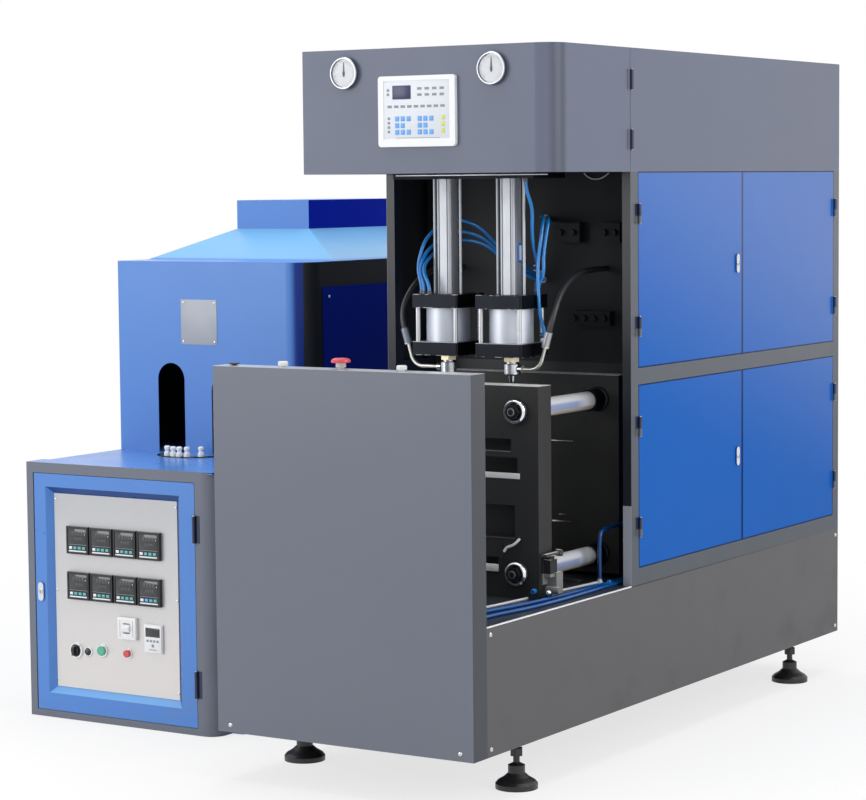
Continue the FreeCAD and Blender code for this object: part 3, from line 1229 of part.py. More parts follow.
lx = num(STATIONS["left"])
rx = num(STATIONS["right"])
sy = num("station_y")
ft = num(STACK_TOP)
bw = num("bay_wall")
bd = num("box_depth")
mw = num("machine_width")
dk = num(BASE_TOP) + num("tube_radius")
AIR_ROUTES = {
    "left_outer": [(lx - 62, sy - 36, ft), (lx - 62, sy - 36, ft + 24), (lx - 80, sy - 30, ft + 66),
                   (lx - 73, sy - 17, ft + 124), (lx - 65, sy + 5, ft + 157), (lx - 50, sy + 40, ft + 186),
                   (lx - 15, sy + 68, ft + 202), (lx + 15, sy + 95, ft + 191), (lx + 34, sy + 125, ft + 173),
                   (lx + 56, sy + 165, ft + 129), (lx + 75, sy + 230, ft + 80), (lx + 95, bw - 45, ft + 60),
                   (lx + 95, bw, ft + 60)],
    "left_middle": [(lx - 43, sy - 53, ft), (lx - 43, sy - 53, ft + 24), (lx - 66, sy - 37, ft + 60),
                    (lx - 67, sy - 28, ft + 88), (lx - 62, sy - 5, ft + 117), (lx - 53, sy + 20, ft + 135),
                    (lx - 28, sy + 50, ft + 165), (lx + 5, sy + 70, ft + 169), (lx + 40, sy + 115, ft + 151),
                    (lx + 62, sy + 160, ft + 112), (lx + 84, sy + 232, ft + 66), (lx + 108, bw - 45, ft + 44),
                    (lx + 108, bw, ft + 44)],
    "left_inner": [(lx - 24, sy - 57, ft), (lx - 24, sy - 57, ft + 24), (lx - 50, sy - 47, ft + 58),
                   (lx - 54, sy - 30, ft + 85), (lx - 56, sy + 16, ft + 108), (lx - 22, sy + 42, ft + 139),
                   (lx + 16, sy + 60, ft + 146), (lx + 47, sy + 115, ft + 133), (lx + 72, sy + 155, ft + 98),
                   (lx + 96, sy + 232, ft + 50), (lx + 120, bw - 45, ft + 28), (lx + 120, bw, ft + 28)],
    "right_drop": [(rx + 64, sy - 30, num(HEADER) - num("hanger_thick")), (rx + 64, sy - 30, ft + 285),
                   (rx + 71, sy - 5, ft + 233), (rx + 57, sy + 15, ft + 180), (rx + 50, sy + 30, ft + 141),
                   (rx + 52, sy + 45, ft + 95), (rx + 56, sy + 55, ft + 50), (rx + 42, sy + 58, ft + 22),
                   (rx + 42, sy + 58, ft)],
    "right_return": [(rx - 70, bw, ft + 200), (rx - 70, bw - 40, ft + 200), (rx + 66, sy + 62, ft + 216),
                     (rx + 74, sy + 37, ft + 160), (rx + 69, sy + 27, ft + 99), (rx + 70, sy + 22, ft + 46),
                     (rx + 83, sy + 4, ft - 10), (rx + 82, sy + 12, ft - 60), (rx + 90, sy + 30, ft - 111),
                     (rx + 72.5, sy + 30, ft - 111)],
    "right_lift": [(rx - 55, bw, ft + 194), (rx - 55, bw - 40, ft + 194), (rx + 81, sy + 67, ft + 210),
                   (rx + 81, sy + 50, ft + 160), (rx + 79, sy + 37, ft + 103), (rx + 83, sy + 33, ft + 53),
                   (rx + 62, sy + 38, ft + 24), (rx + 62, sy + 38, ft)],
    "deck_line": [(mw - 130, bd, dk), (mw - 130, bd + 135, dk), (mw - 98, bd + 275, dk),
                  (mw - 80, bd + 435, dk), (mw - 74, bw - 350, dk), (mw - 76, bw - 200, dk),
                  (mw - 68, bw - 50, dk), (mw - 68, bw + 100, dk)],
    "deck_return": [(mw - 75, bd, dk), (mw - 75, bd + 135, dk), (mw - 49, bd + 275, dk),
                    (mw - 42, bd + 435, dk), (mw - 46, bw - 350, dk), (mw - 52, bw - 200, dk),
                    (mw - 46, bw - 50, dk), (mw - 46, bw + 100, dk)],
}
tubes = []
for label, route in AIR_ROUTES.items():
    line = doc.addObject("Part::Feature", "air_" + label)
    line.Shape = tube("air_" + label, route, num("tube_radius"))
    tubes.append(line)
node("air_tubes", group("air_tube_set", tubes))

# ---------------------------------------------------------------- checks and files

doc.recompute()
for item in doc.Objects:
    if "Invalid" in item.State or "Error" in item.State:
        raise RuntimeError("failed: %s %s" % (item.Name, item.State))
os.makedirs("parts", exist_ok=True)
for item in KEPT:
    shape = item.Shape
    if shape.isNull() or not shape.isValid() or not shape.Solids:
        raise RuntimeError("bad shape: " + item.Label)
    shape.exportStep("parts/%s.step" % item.Label)
print(len(KEPT), "pieces written")
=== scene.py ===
# %% [markdown]
# # A stretch blow moulding machine and its preform oven
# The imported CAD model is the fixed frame: every solid is already in place, in metres. This
# lesson gives each solid a painted, ground or moulded finish and adds the small parts that
# someone standing in front of the machine would see: keys, dials, rivets, fittings and lamps.

import bmesh
import bpy
import math
from mathutils import Matrix, Vector


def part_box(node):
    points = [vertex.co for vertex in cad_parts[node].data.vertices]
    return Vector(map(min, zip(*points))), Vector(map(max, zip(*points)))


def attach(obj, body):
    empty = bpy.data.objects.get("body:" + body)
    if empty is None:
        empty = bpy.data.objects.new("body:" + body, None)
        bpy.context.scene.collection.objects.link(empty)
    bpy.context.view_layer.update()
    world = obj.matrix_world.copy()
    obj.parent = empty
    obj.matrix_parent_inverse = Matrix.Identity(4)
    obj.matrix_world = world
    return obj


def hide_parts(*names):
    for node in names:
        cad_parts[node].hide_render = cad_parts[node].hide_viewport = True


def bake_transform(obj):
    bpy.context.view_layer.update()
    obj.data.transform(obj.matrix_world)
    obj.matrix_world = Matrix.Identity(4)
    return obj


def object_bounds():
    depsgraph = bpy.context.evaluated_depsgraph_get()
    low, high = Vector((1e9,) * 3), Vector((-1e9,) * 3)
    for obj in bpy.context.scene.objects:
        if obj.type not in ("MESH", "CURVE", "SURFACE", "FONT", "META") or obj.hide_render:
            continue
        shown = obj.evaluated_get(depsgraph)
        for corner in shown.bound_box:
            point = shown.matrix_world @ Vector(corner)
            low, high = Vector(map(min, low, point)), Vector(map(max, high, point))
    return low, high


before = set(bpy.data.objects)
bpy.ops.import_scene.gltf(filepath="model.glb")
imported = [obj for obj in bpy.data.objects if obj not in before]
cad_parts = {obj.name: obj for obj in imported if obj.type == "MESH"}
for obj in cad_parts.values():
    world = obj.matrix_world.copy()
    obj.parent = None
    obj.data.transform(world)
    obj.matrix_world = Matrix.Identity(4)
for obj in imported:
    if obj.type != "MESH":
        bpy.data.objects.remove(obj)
cad_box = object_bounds()

# %% [markdown]
# The machine was measured in millimetres from the left side of the moulding unit, from the
# face of its front guard and from the floor. One function turns such a place into the
# frame's metres, so that all sizes below can be read as a fitter would read them. A second
# one goes the other way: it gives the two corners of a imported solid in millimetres, so that
# what sits on a solid is placed from it.

# %% Places in the machine's own millimetres
LEFT_SIDE = 99.75
GUARD_FACE = -1098.8


def at(x, y, z):
    """A place in millimetres, measured on the machine, as a point of the frame."""
    return Vector((x + LEFT_SIDE, y + GUARD_FACE, z)) / 1000


def corners(node):
    """A solid's lowest and highest corner in the machine's own millimetres."""
    return [(x * 1000 - LEFT_SIDE, y * 1000 - GUARD_FACE, z * 1000) for x, y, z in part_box(node)]


guard_low, guard_high = corners("front_guard_box")
WIDTH, GUARD_BACK, GUARD_TOP = guard_high
LENGTH = cad_box[1][1] * 1000 - GUARD_FACE
HEIGHT = cad_box[1][2] * 1000
RIGHT_FACE = WIDTH - 0.5
CABINET_FRONT = 824
DECK_TOP = 453
print("guard face is", round(guard_low[1], 2), "mm from where it should be")
print("machine: %.0f wide, %.0f long, %.0f tall" % (WIDTH, LENGTH, HEIGHT))

# %% [markdown]
# The picture was taken from the front right at about head height, with a long lens. The
# camera stands where the edges of the sheet metal line up with those in the picture: a yaw,
# a small tilt down and a trace of roll, and a focal length worked out from the frame width.

# %% Camera
PHOTO_WIDTH = 866
FOCAL_PIXELS = 2630.19
YAW = math.radians(32.33)
TILT = math.radians(4.73)
ROLL = math.radians(-0.53)
CAMERA_SPOT = (4095.78, -5410.83, 1547.4)

ahead = Vector((-math.sin(YAW) * math.cos(TILT), math.cos(YAW) * math.cos(TILT), -math.sin(TILT)))
right = ahead.cross(Vector((0, 0, 1))).normalized()
above = right.cross(ahead)
rolled_right = right * math.cos(ROLL) + above * math.sin(ROLL)
rolled_above = above * math.cos(ROLL) - right * math.sin(ROLL)

lens = bpy.data.cameras.new("camera")
lens.sensor_width = 36
lens.lens = FOCAL_PIXELS * lens.sensor_width / PHOTO_WIDTH
lens.clip_end = 100
camera = bpy.data.objects.new("camera", lens)
turn = Matrix((rolled_right, rolled_above, -ahead)).transposed().to_4x4()
camera.matrix_world = Matrix.Translation(at(*CAMERA_SPOT)) @ turn
bpy.context.scene.collection.objects.link(camera)
bpy.context.scene.camera = camera
bpy.context.scene.view_settings.view_transform = "Standard"
print("focal length", round(lens.lens, 1), "mm")

# %% [markdown]
# Every node comes from one function, which takes the node's type, its settings and the
# values or links of its sockets. Shader sums read best as plain arithmetic, so a small
# class wraps one socket: `1 - mask * 0.2` then adds the Math nodes it needs. Colours go
# through Mix nodes instead, because a Math node would turn them grey.

# %% Nodes, and sockets that can be added and multiplied
def feed(tree, socket, value):
    """Link a wire or another node's output to a socket, or set the socket's own value."""
    if isinstance(value, Wire):
        tree.links.new(value.socket, socket)
    elif isinstance(value, bpy.types.NodeSocket):
        tree.links.new(value, socket)
    else:
        socket.default_value = value


def add_node(tree, kind, settings=None, sockets=None):
    """A new node with its settings, then its sockets."""
    made = tree.nodes.new(kind)
    for label, value in (settings or {}).items():
        setattr(made, label, value)
    for label, value in (sockets or {}).items():
        feed(tree, made.inputs[label], value)
    return made


class Wire:
    """One output of a node tree, usable in arithmetic."""

    def __init__(self, tree, socket):
        self.tree = tree
        self.socket = socket

    def math(self, operation, *values):
        node = add_node(self.tree, "ShaderNodeMath", {"operation": operation}, dict(enumerate(values)))
        return Wire(self.tree, node.outputs[0])

    def __add__(self, other):
        return self.math("ADD", self, other)

    def __sub__(self, other):
        return self.math("SUBTRACT", self, other)

    def __rsub__(self, other):
        return self.math("SUBTRACT", other, self)

    def __mul__(self, other):
        return self.math("MULTIPLY", self, other)

    __radd__ = __add__
    __rmul__ = __mul__

    def __gt__(self, other):
        return self.math("GREATER_THAN", self, other)

    def __lt__(self, other):
        return self.math("LESS_THAN", self, other)

    def __or__(self, other):
        return self.math("MAXIMUM", self, other)

    def size(self):
        return self.math("ABSOLUTE", self)

    def flipped(self):
        return 1 - self


print("wires can be added, subtracted, multiplied, compared and joined")

# %% [markdown]
# A finish is one Principled material with its nodes. It starts from Object coordinates,
# which on every piece here are metres in the frame, so a scratch is as long on a door as on
# a screw. Its x, y and z are the same place in the machine's millimetres, for masks such as
# "behind the front sheet".

# %% The Finish helper
class Finish:
    """A Principled material with helpers for the nodes in front of it."""

    def __init__(self, name, colour, rough, metallic=0.0, **fixed):
        self.material = bpy.data.materials.new(name)
        self.material.use_nodes = True
        self.tree = self.material.node_tree
        self.shader = self.tree.nodes["Principled BSDF"]
        self.place = self.node("ShaderNodeTexCoord").outputs["Object"]
        axes = self.node("ShaderNodeSeparateXYZ", sockets={0: self.place})
        across, deep, tall = (Wire(self.tree, out) * 1000 for out in axes.outputs)
        self.x = across - LEFT_SIDE
        self.y = deep - GUARD_FACE
        self.z = tall
        self.set("Base Color", (*colour, 1.0))
        self.set("Roughness", rough)
        self.set("Metallic", metallic)
        for label, value in fixed.items():
            self.set(label.replace("_", " "), value)

    def node(self, kind, settings=None, sockets=None):
        return add_node(self.tree, kind, settings, sockets)

    def set(self, label, value):
        feed(self.tree, self.shader.inputs[label], value)

    def noise(self, scale, detail=2.0, stretch=(1, 1, 1)):
        spread = self.node("ShaderNodeMapping", sockets={"Vector": self.place, "Scale": stretch})
        made = self.node("ShaderNodeTexNoise", sockets={"Vector": spread.outputs[0], "Scale": scale,
                                                        "Detail": detail})
        return Wire(self.tree, made.outputs[0])

    def mix(self, share, first, second):
        made = self.node("ShaderNodeMix", {"data_type": "RGBA"}, {0: share, 6: first, 7: second})
        return made.outputs[2]

    def fade(self, value, low, high):
        """0 below low and 1 above high, with a soft change between."""
        made = self.node("ShaderNodeMapRange", {"interpolation_type": "SMOOTHSTEP"},
                         {"Value": value, "From Min": low, "From Max": high})
        return Wire(self.tree, made.outputs[0])

    def within(self, x=None, y=None, z=None):
        """1 inside the given ranges of machine millimetres."""
        share = None
        for wire, span in ((self.x, x), (self.y, y), (self.z, z)):
            if span:
                inside = (wire > span[0]) * (wire < span[1])
                share = inside if share is None else share * inside
        return share

    def paint(self, share, colour):
        """Lay another colour over what the base colour has so far."""
        under = self.shader.inputs["Base Color"]
        before = under.links[0].from_socket if under.links else tuple(under.default_value)
        self.set("Base Color", self.mix(share, before, (*colour, 1.0)))

    def lean(self, axis):
        """How far the surface faces along an axis of the frame, from -1 to 1."""
        facing = self.node("ShaderNodeNewGeometry").outputs["Normal"]
        return Wire(self.tree, self.node("ShaderNodeSeparateXYZ", sockets={0: facing}).outputs[axis])

    def relief(self, height, depth):
        bump = self.node("ShaderNodeBump", sockets={"Height": height, "Distance": depth})
        self.set("Normal", bump.outputs[0])


FINISHES = {}


def keep(finish):
    FINISHES[finish.material.name] = finish.material
    return finish


print("finish helper ready")

# %% [markdown]
# Most of the machine is folded sheet with sprayed enamel. Real enamel is never quite even:
# the colour drifts a little over a large panel, the gloss varies, and the surface has the
# faint ripple that painters call orange peel. The upper panels are wiped often and keep
# their gloss, while the paint near the floor is duller and a little dusty.

# %% Enamels
GREY = (0.153, 0.169, 0.212)
DOOR_BLUE = (0.012, 0.118, 0.47)
OVEN_BLUE = (0.07, 0.215, 0.59)
# Right faces in shadow are painted the darker, warmer grey below as painted shade, and the near black after
# it is painted shade inside the bay and the header.
SHADED_SIDE_GREY = (0.1, 0.097, 0.102)
INSIDE_SHADE = (0.011, 0.012, 0.015)


def enamel(name, colour, rough=0.38, coat=0.6, drift=0.1, gloss=0.2, mirror=1.5):
    """Sprayed paint with a slow colour drift, a gloss that grows with height and orange peel."""
    paint = keep(Finish(name, colour, rough, Coat_Roughness=0.22, Coat_IOR=mirror, Specular_IOR_Level=gloss))
    clouds = paint.noise(3.5, 3)
    paint.paint(clouds * drift, tuple(c * 1.3 for c in colour))
    grime = paint.noise(9, 5)
    dusty = (1 - paint.fade(paint.z, 0, 500)) * paint.fade(grime, 0.5, 0.75)
    paint.paint(dusty * 0.22, (0.17, 0.165, 0.15))
    wiped = paint.fade(paint.z, 500, 1500) * (0.75 + 0.35 * paint.fade(paint.y, 800, 2100))
    paint.set("Coat Weight", wiped * coat * (1.15 - grime * 0.3))
    paint.set("Roughness", rough + (grime - 0.5) * 0.16 + dusty * 0.15)
    paint.relief(paint.noise(300, 1), 0.00004)
    return paint


enamel("grey_enamel", GREY)
enamel("oven_enamel", OVEN_BLUE, rough=0.3, gloss=0.5)
# The oven's blue side panel is painted navy as painted shade on its shaded side. The bay wall is dark paint,
# deepened to near black as painted shade in the deep bay.
enamel("navy_shade_enamel", (0.0003, 0.017, 0.3), rough=0.45, coat=0.0, gloss=0.04)
enamel("bay_black", INSIDE_SHADE, rough=0.55, coat=0.0, gloss=0.2)
print("enamels:", list(FINISHES))

# %% [markdown]
# Bare metals differ in how they were worked. Ground steel has fine scratches one way, a
# turned barrel has them round it, anodised aluminium is satin, and chrome is nearly a
# mirror with a few fingerprints. Each gets its own roughness pattern and tiny relief. The
# oxide skin on aluminium scatters light, so those are not wholly metallic.

# %% Metals
def metal(name, colour, rough, grain=(1, 1, 60), depth=0.00004, spots=0.12, metallic=1.0):
    """A bare metal whose fine lines run across the axis with the largest grain."""
    finish = keep(Finish(name, colour, rough, metallic=metallic))
    lines = finish.noise(160, 2, grain)
    smudges = finish.noise(22, 3)
    finish.paint(smudges * 0.25, tuple(c * 0.72 for c in colour))
    finish.set("Roughness", rough + (lines - 0.5) * 0.16 + (smudges - 0.5) * spots)
    finish.relief(lines, depth)
    return finish


metal("ground_steel", (0.56, 0.57, 0.6), 0.34)
metal("dull_steel", (0.14, 0.145, 0.155), 0.5, grain=(1, 40, 1))
metal("polished_chrome", (0.8, 0.82, 0.86), 0.14, grain=(1, 1, 8), depth=0.000005)
metal("gauge_chrome", (0.3, 0.32, 0.35), 0.25, grain=(1, 1, 8), depth=0.000005)
metal("satin_barrel", (0.66, 0.7, 0.78), 0.42, grain=(1, 1, 40), depth=0.00002, metallic=0.55)
metal("zinc_plate", (0.6, 0.62, 0.64), 0.3, grain=(30, 30, 1), depth=0.00002)
metal("bare_plate", (0.36, 0.38, 0.43), 0.55, grain=(60, 1, 1), depth=0.00003, metallic=0.4)
metal("black_oxide", (0.018, 0.02, 0.025), 0.42, grain=(8, 8, 8), depth=0.00002)
metal("satin_extrusion", (0.5, 0.52, 0.56), 0.42, grain=(260, 260, 0.6), depth=0.00005, metallic=0.5)
print(len(FINISHES), "finishes so far")

# %% [markdown]
# Plastics and rubber: moulded buttons have a soft gloss, nylon air tube is glossy and a
# little uneven in depth of colour, and hose rubber is almost matt with fine wrap marks.

# %% Plastics and rubber
def plastic(name, colour, rough, grain=700, depth=0.00003, coat=0.2):
    """Moulded plastic with a fine skin and slightly uneven gloss."""
    finish = keep(Finish(name, colour, rough))
    skin = finish.noise(grain, 1)
    shade = finish.noise(30, 2)
    finish.paint(shade * 0.18, tuple(c * 0.8 for c in colour))
    finish.set("Roughness", rough + (skin - 0.5) * 0.15)
    finish.set("Coat Weight", coat * shade)
    finish.relief(skin, depth)
    return finish


plastic("white_plastic", (0.78, 0.79, 0.8), 0.35)
plastic("panel_white", (0.87, 0.89, 0.91), 0.4)
plastic("membrane", (0.76, 0.8, 0.86), 0.5)
plastic("black_plastic", (0.018, 0.018, 0.02), 0.4)
plastic("meter_black", (0.01, 0.011, 0.013), 0.33)
plastic("grey_print", (0.25, 0.27, 0.32), 0.5)
plastic("dim_print", (0.06, 0.064, 0.07), 0.45)
plastic("key_blue", (0.12, 0.38, 0.85), 0.4)
plastic("key_teal", (0.1, 0.42, 0.42), 0.4)
plastic("key_yellow", (0.62, 0.7, 0.08), 0.4)
plastic("button_green", (0.08, 0.42, 0.28), 0.3, coat=0.5)
plastic("button_red", (0.62, 0.07, 0.08), 0.3, coat=0.5)
plastic("tube_blue", (0.008, 0.23, 0.66), 0.22, grain=90, coat=0.9)
plastic("hose_navy", (0.003, 0.05, 0.2), 0.3, grain=90, coat=0.3)
plastic("hose_rubber", (0.03, 0.031, 0.034), 0.42, grain=300, depth=0.00015, coat=0.2)
plastic("lamp_ceramic", (0.45, 0.44, 0.42), 0.5)
plastic("smoked_window", (0.022, 0.024, 0.028), 0.12, depth=0.000005, coat=0.8)
plastic("display_blue", (0.02, 0.026, 0.1), 0.35, depth=0.000005, coat=0.2)
plastic("sensor_glass", (0.03, 0.2, 0.62), 0.12, depth=0.000005, coat=1.0)
plastic("foot_black", (0.014, 0.014, 0.015), 0.42, depth=0.0001)
plastic("needle_black", (0.01, 0.01, 0.01), 0.4)
plastic("needle_grey", (0.07, 0.072, 0.08), 0.4)
plastic("dial_white", (0.66, 0.68, 0.72), 0.4)
print(len(FINISHES), "finishes")

# %% [markdown]
# Some solids have faces of more than one finish: a frame is enamelled outside and dark
# inside, a steel plate has a machined edge, and a tie bar is bright while its washers and
# nuts are blackened. The solids can't be cut apart, so a mask made from the place in the
# frame picks the second finish's colour, and the same mask drives gloss and metal.

# %% A finish with two parts
def two_part(finish, mask, colour, rough, metallic=0.0):
    """Change colour, gloss and metal where the mask is 1."""
    rough_input = finish.shader.inputs["Roughness"]
    metal_input = finish.shader.inputs["Metallic"]
    rough_before = Wire(finish.tree, rough_input.links[0].from_socket)
    if metal_input.links:
        metal_before = Wire(finish.tree, metal_input.links[0].from_socket)
    else:
        metal_before = metal_input.default_value
    finish.paint(mask, colour)
    finish.set("Roughness", rough_before * (1 - mask) + mask * rough)
    finish.set("Metallic", (1 - mask) * metal_before + mask * metallic)
    return finish


print("two-part helper ready")

# %% [markdown]
# The blue doors are smooth sheets whose clear coat takes on the white of the room, more so
# towards the top and the rear, where they are wiped and where the light comes from. The gap
# between two leaves and the folds along their borders lie in shade, which thin dark bands
# with soft edges repeat. The doors' own boxes say where those are.

# %% Blue doors
SEAM_BLUE = (0.001, 0.02, 0.13)
BORDER_BLUE = (0.004, 0.035, 0.19)
doors = enamel("door_enamel", DOOR_BLUE, rough=0.4, gloss=0.02, mirror=1.75)
climb = doors.z + (doors.y - 900) * 0.3
doors.set("Coat Weight", 0.04 + 0.84 * doors.fade(climb, 850, 1800))
front_leaf, rear_leaf = corners("upper_front_door"), corners("upper_rear_door")
lower_leaf = corners("lower_front_door")
seam = (front_leaf[1][1] + rear_leaf[0][1]) / 2
doors.paint(1 - doors.fade((doors.y - seam + 3).size(), 4, 8), SEAM_BLUE)
for border in (lower_leaf[0][2], lower_leaf[1][2], front_leaf[0][2], front_leaf[1][2]):
    doors.paint(1 - doors.fade((doors.z - border).size(), 1.2, 3.0), BORDER_BLUE)
for border in (front_leaf[0][1], rear_leaf[1][1]):
    doors.paint(1 - doors.fade((doors.y - border).size(), 2, 4), BORDER_BLUE)
print("doors meet at y", round(seam))

# %% [markdown]
# The guard box, the side sheets, the cabinet's frame and the base are one grey outside. Seen
# from the front right, their right faces lie in shade and are painted darker, warmer and
# duller as painted shade. The top edge of the guard is painted pale as a painted highlight,
# and everything inside is painted nearly black as painted shade. Near the deck the fronts of
# the posts catch the light and are painted pale as painted light; higher up they are painted
# dark as painted shade.

# %% Guard, side sheets, frame and base
guard = enamel("guard_enamel", GREY)
# The guard's right face is painted darker as painted shade, and its top edge pale as a painted highlight.
two_part(guard, guard.x > RIGHT_FACE, (0.06, 0.066, 0.079), 0.42)
two_part(guard, guard.z > GUARD_TOP - 0.5, (0.5, 0.52, 0.56), 0.3)

sheets = enamel("side_sheet_enamel", GREY)
# Inside, the side sheets are painted near black as painted shade, and their right faces a darker grey as
# painted shade.
two_part(sheets, sheets.within(x=(1.5, WIDTH - 1.5), y=(0, LENGTH - 1.5)), (0.019, 0.022, 0.029), 0.55)
sheets.paint(sheets.x > RIGHT_FACE, SHADED_SIDE_GREY)

posts = enamel("frame_enamel", GREY)
# The frame's right faces and its inside are painted dark as painted shade, and the fronts of the posts near
# the deck are painted pale as painted light.
inner = posts.within(x=(1, WIDTH - 1), y=(CABINET_FRONT - 1, LENGTH - 1))
lit_low_front = posts.within(y=(CABINET_FRONT - 1, CABINET_FRONT + 0.6), z=(0, 672))
posts.paint(posts.x > RIGHT_FACE, (0.078, 0.09, 0.11))
two_part(posts, inner * (1 - lit_low_front), (0.0125, 0.0155, 0.021), 0.5)
posts.paint(lit_low_front, (0.34, 0.36, 0.42))
# A band in the gap by the left side is painted darker still as painted shade.
posts.paint(posts.within(x=(24, 40), y=(CABINET_FRONT, LENGTH - 1)), (0.023, 0.029, 0.05))

base = enamel("base_enamel", GREY)
# The base's right face is painted a darker grey as painted shade, and its top above 440 mm, where the gap
# under the cabinet lies, is painted dark as painted shade.
base.paint(base.x > RIGHT_FACE, SHADED_SIDE_GREY)
two_part(base, base.z > 440, (0.035, 0.04, 0.048), 0.3)
print("guard, sheets, frame and base")

# %% [markdown]
# The header's sheet turns round a corner at its front right. The bend mirrors a darker part
# of the room, so a soft dark band is painted down it as a painted reflection. Its inside is
# painted dark as painted shade.

# %% Header
header = enamel("header_enamel", (0.14, 0.158, 0.22), coat=0.35, gloss=0.1)
fold_reflection = header.fade(header.x, 748, 770) * (1 - header.fade(header.y, 458, 482))
header.paint(fold_reflection * 0.6, (0.06, 0.068, 0.092))
# The header's inside is painted near black as painted shade.
header_inside = header.within(x=(2.5, WIDTH - 2.5), y=(490, LENGTH - 2.5), z=(0, HEIGHT - 2.5))
two_part(header, header_inside, INSIDE_SHADE, 0.55)
print("header")

# %% [markdown]
# The oven's hood is one folded blue shell. Its sloping roof faces the lamps and is painted
# much paler as painted light. Its right side is painted black, its inside is painted black as
# painted shade, and the rounded front corner beside the side is painted from blue to navy to
# black as painted shade. The exhaust box is a paler blue, and its right side is painted navy
# as painted shade. A thin band of the table at the slot for the carrier chain is painted near
# black as painted shade.

# %% Hood, exhaust box and table
SIDE_AND_SHADE_BLACK = (0.006, 0.0085, 0.014)
ROOF_Z = 1321
hood = enamel("hood_enamel", OVEN_BLUE, rough=0.32, coat=0.3, gloss=0.3)
# The hood's right side is painted black, and its inside is painted black as painted shade.
side_frame = hood.within(x=(-296, 0), y=(836, 1949), z=(0, ROOF_Z - 1.5))
hood_inside = hood.within(x=(-965, -350), y=(813.5, 1948), z=(0, ROOF_Z - 3.5))
two_part(hood, side_frame | hood_inside, SIDE_AND_SHADE_BLACK, 0.5)
# The roof is painted paler as painted light.
hood.paint(hood.fade(hood.z, ROOF_Z, ROOF_Z + 7), (0.155, 0.39, 0.66))
# The rounded front corner is painted from blue to navy to black as painted shade.
corner_shade = hood.within(x=(-345, -272), z=(0, ROOF_Z - 2.1))
hood.set("Coat Weight", 0.25 * (1 - corner_shade))
hood.paint(corner_shade * hood.fade(hood.y, 813, 820) * 0.95, (0.0005, 0.02, 0.22))
hood.paint(corner_shade * (hood.y > 832), SIDE_AND_SHADE_BLACK)

stack = enamel("stack_enamel", (0.15, 0.29, 0.64), rough=0.4, coat=0.0, gloss=0.03)
stack_side = corners("exhaust_stack")[1][0]
# The exhaust box's right side is painted navy as painted shade.
stack.paint(stack.x > stack_side - 0.6, (0.0005, 0.014, 0.36))

table = enamel("table_enamel", OVEN_BLUE, rough=0.3, gloss=0.5)
# A thin band at the slot for the carrier chain is painted near black as painted shade.
two_part(table, table.within(z=(743.5, 746.5)), (0.01, 0.01, 0.012), 0.5)
print("hood, exhaust box and table; the box's right side is at x", round(stack_side))

# %% [markdown]
# The platens are blackened steel plates; their right sides are painted darker as painted
# shade, and their top faces are painted pale as a painted highlight. The tie bars between
# them are hard chromed, with a painted reflection on them: pale above, bluish on their flanks
# towards the front, and warm underneath, where they mirror the deck. Their threaded ends in
# front of the platen are black. A lean of the surface makes those bands, so they stay in
# place along the whole bar. The chrome handles are painted blue at their edges as a painted
# reflection of the doors.

# %% Platens, tie bars and handles
PLATEN_FACE = 500
PLATEN_RIGHT, PLATEN_TOP = corners("front_platen")[1][::2]
platen = enamel("platen_black", (0.036, 0.0365, 0.0375), rough=0.42, coat=0.0)
# The platen's right side is painted darker as painted shade, and its top face pale as a painted highlight.
platen.paint(platen.x > PLATEN_RIGHT - 0.5, (0.022, 0.022, 0.0225))
two_part(platen, platen.z > PLATEN_TOP - 0.5, (0.8, 0.8, 0.8), 0.4, 0.1)

bars = metal("tie_bar_finish", (0.92, 0.94, 0.98), 0.22, metallic=0.12)
# Pale above, bluish on the flanks towards the front and warm below are a painted reflection.
slope = bars.lean("Z")
bars.paint(bars.fade(slope, 0.1, 0.5).flipped() * bars.fade(bars.y, 770, 845).flipped(), (0.36, 0.44, 0.68))
bars.paint(bars.fade(slope, -0.55, -0.3).flipped(), (0.6, 0.56, 0.48))
two_part(bars, bars.y < PLATEN_FACE + 0.5, (0.03, 0.031, 0.034), 0.3, 0.5)

EDGE_REFLECTION_BLUE = (0.1, 0.2, 0.42)
grip = metal("handle_chrome", (0.72, 0.76, 0.82), 0.2, grain=(1, 1, 8), depth=0.000005)
# The handles' chrome is painted blue at its edges as a painted reflection of the doors.
grip.paint((grip.lean("X") < 0.93) * (grip.x > 0), EDGE_REFLECTION_BLUE)
grip.paint((grip.lean("Y") > -0.93) * (grip.x < 0), EDGE_REFLECTION_BLUE)
print("platens end at x %.0f, z %.0f" % (PLATEN_RIGHT, PLATEN_TOP))

# %% [markdown]
# The same is done for the small turned parts of the blow stations. The gland nut on each
# station's axis is yellow-passivated, and the tie rods round it are plain; the rod with its
# collar is plain steel, and the bent air pipe that leaves it sideways is pale nickel. The
# flanges give the stations' axes: each square flange lies round one.

# %% Nuts, rods and air pipes of the blow stations
flanges_low, flanges_high = corners("seal_flanges")
HALF_FLANGE = (flanges_high[1] - flanges_low[1]) / 2
STATIONS = (flanges_low[0] + HALF_FLANGE, flanges_high[0] - HALF_FLANGE)
STATION_Y = (flanges_low[1] + flanges_high[1]) / 2


def from_axis(finish):
    """Sideways distance from the nearer of the two station axes."""
    reach = (finish.x - STATIONS[0]).size()
    return reach.math("MINIMUM", reach, (finish.x - STATIONS[1]).size())


nuts = metal("tie_and_gland", (0.6, 0.61, 0.63), 0.3, metallic=0.85)
near_axis = (from_axis(nuts) < 30) * ((nuts.y - STATION_Y).size() < 30)
two_part(nuts, near_axis, (0.62, 0.56, 0.36), 0.3, 1.0)

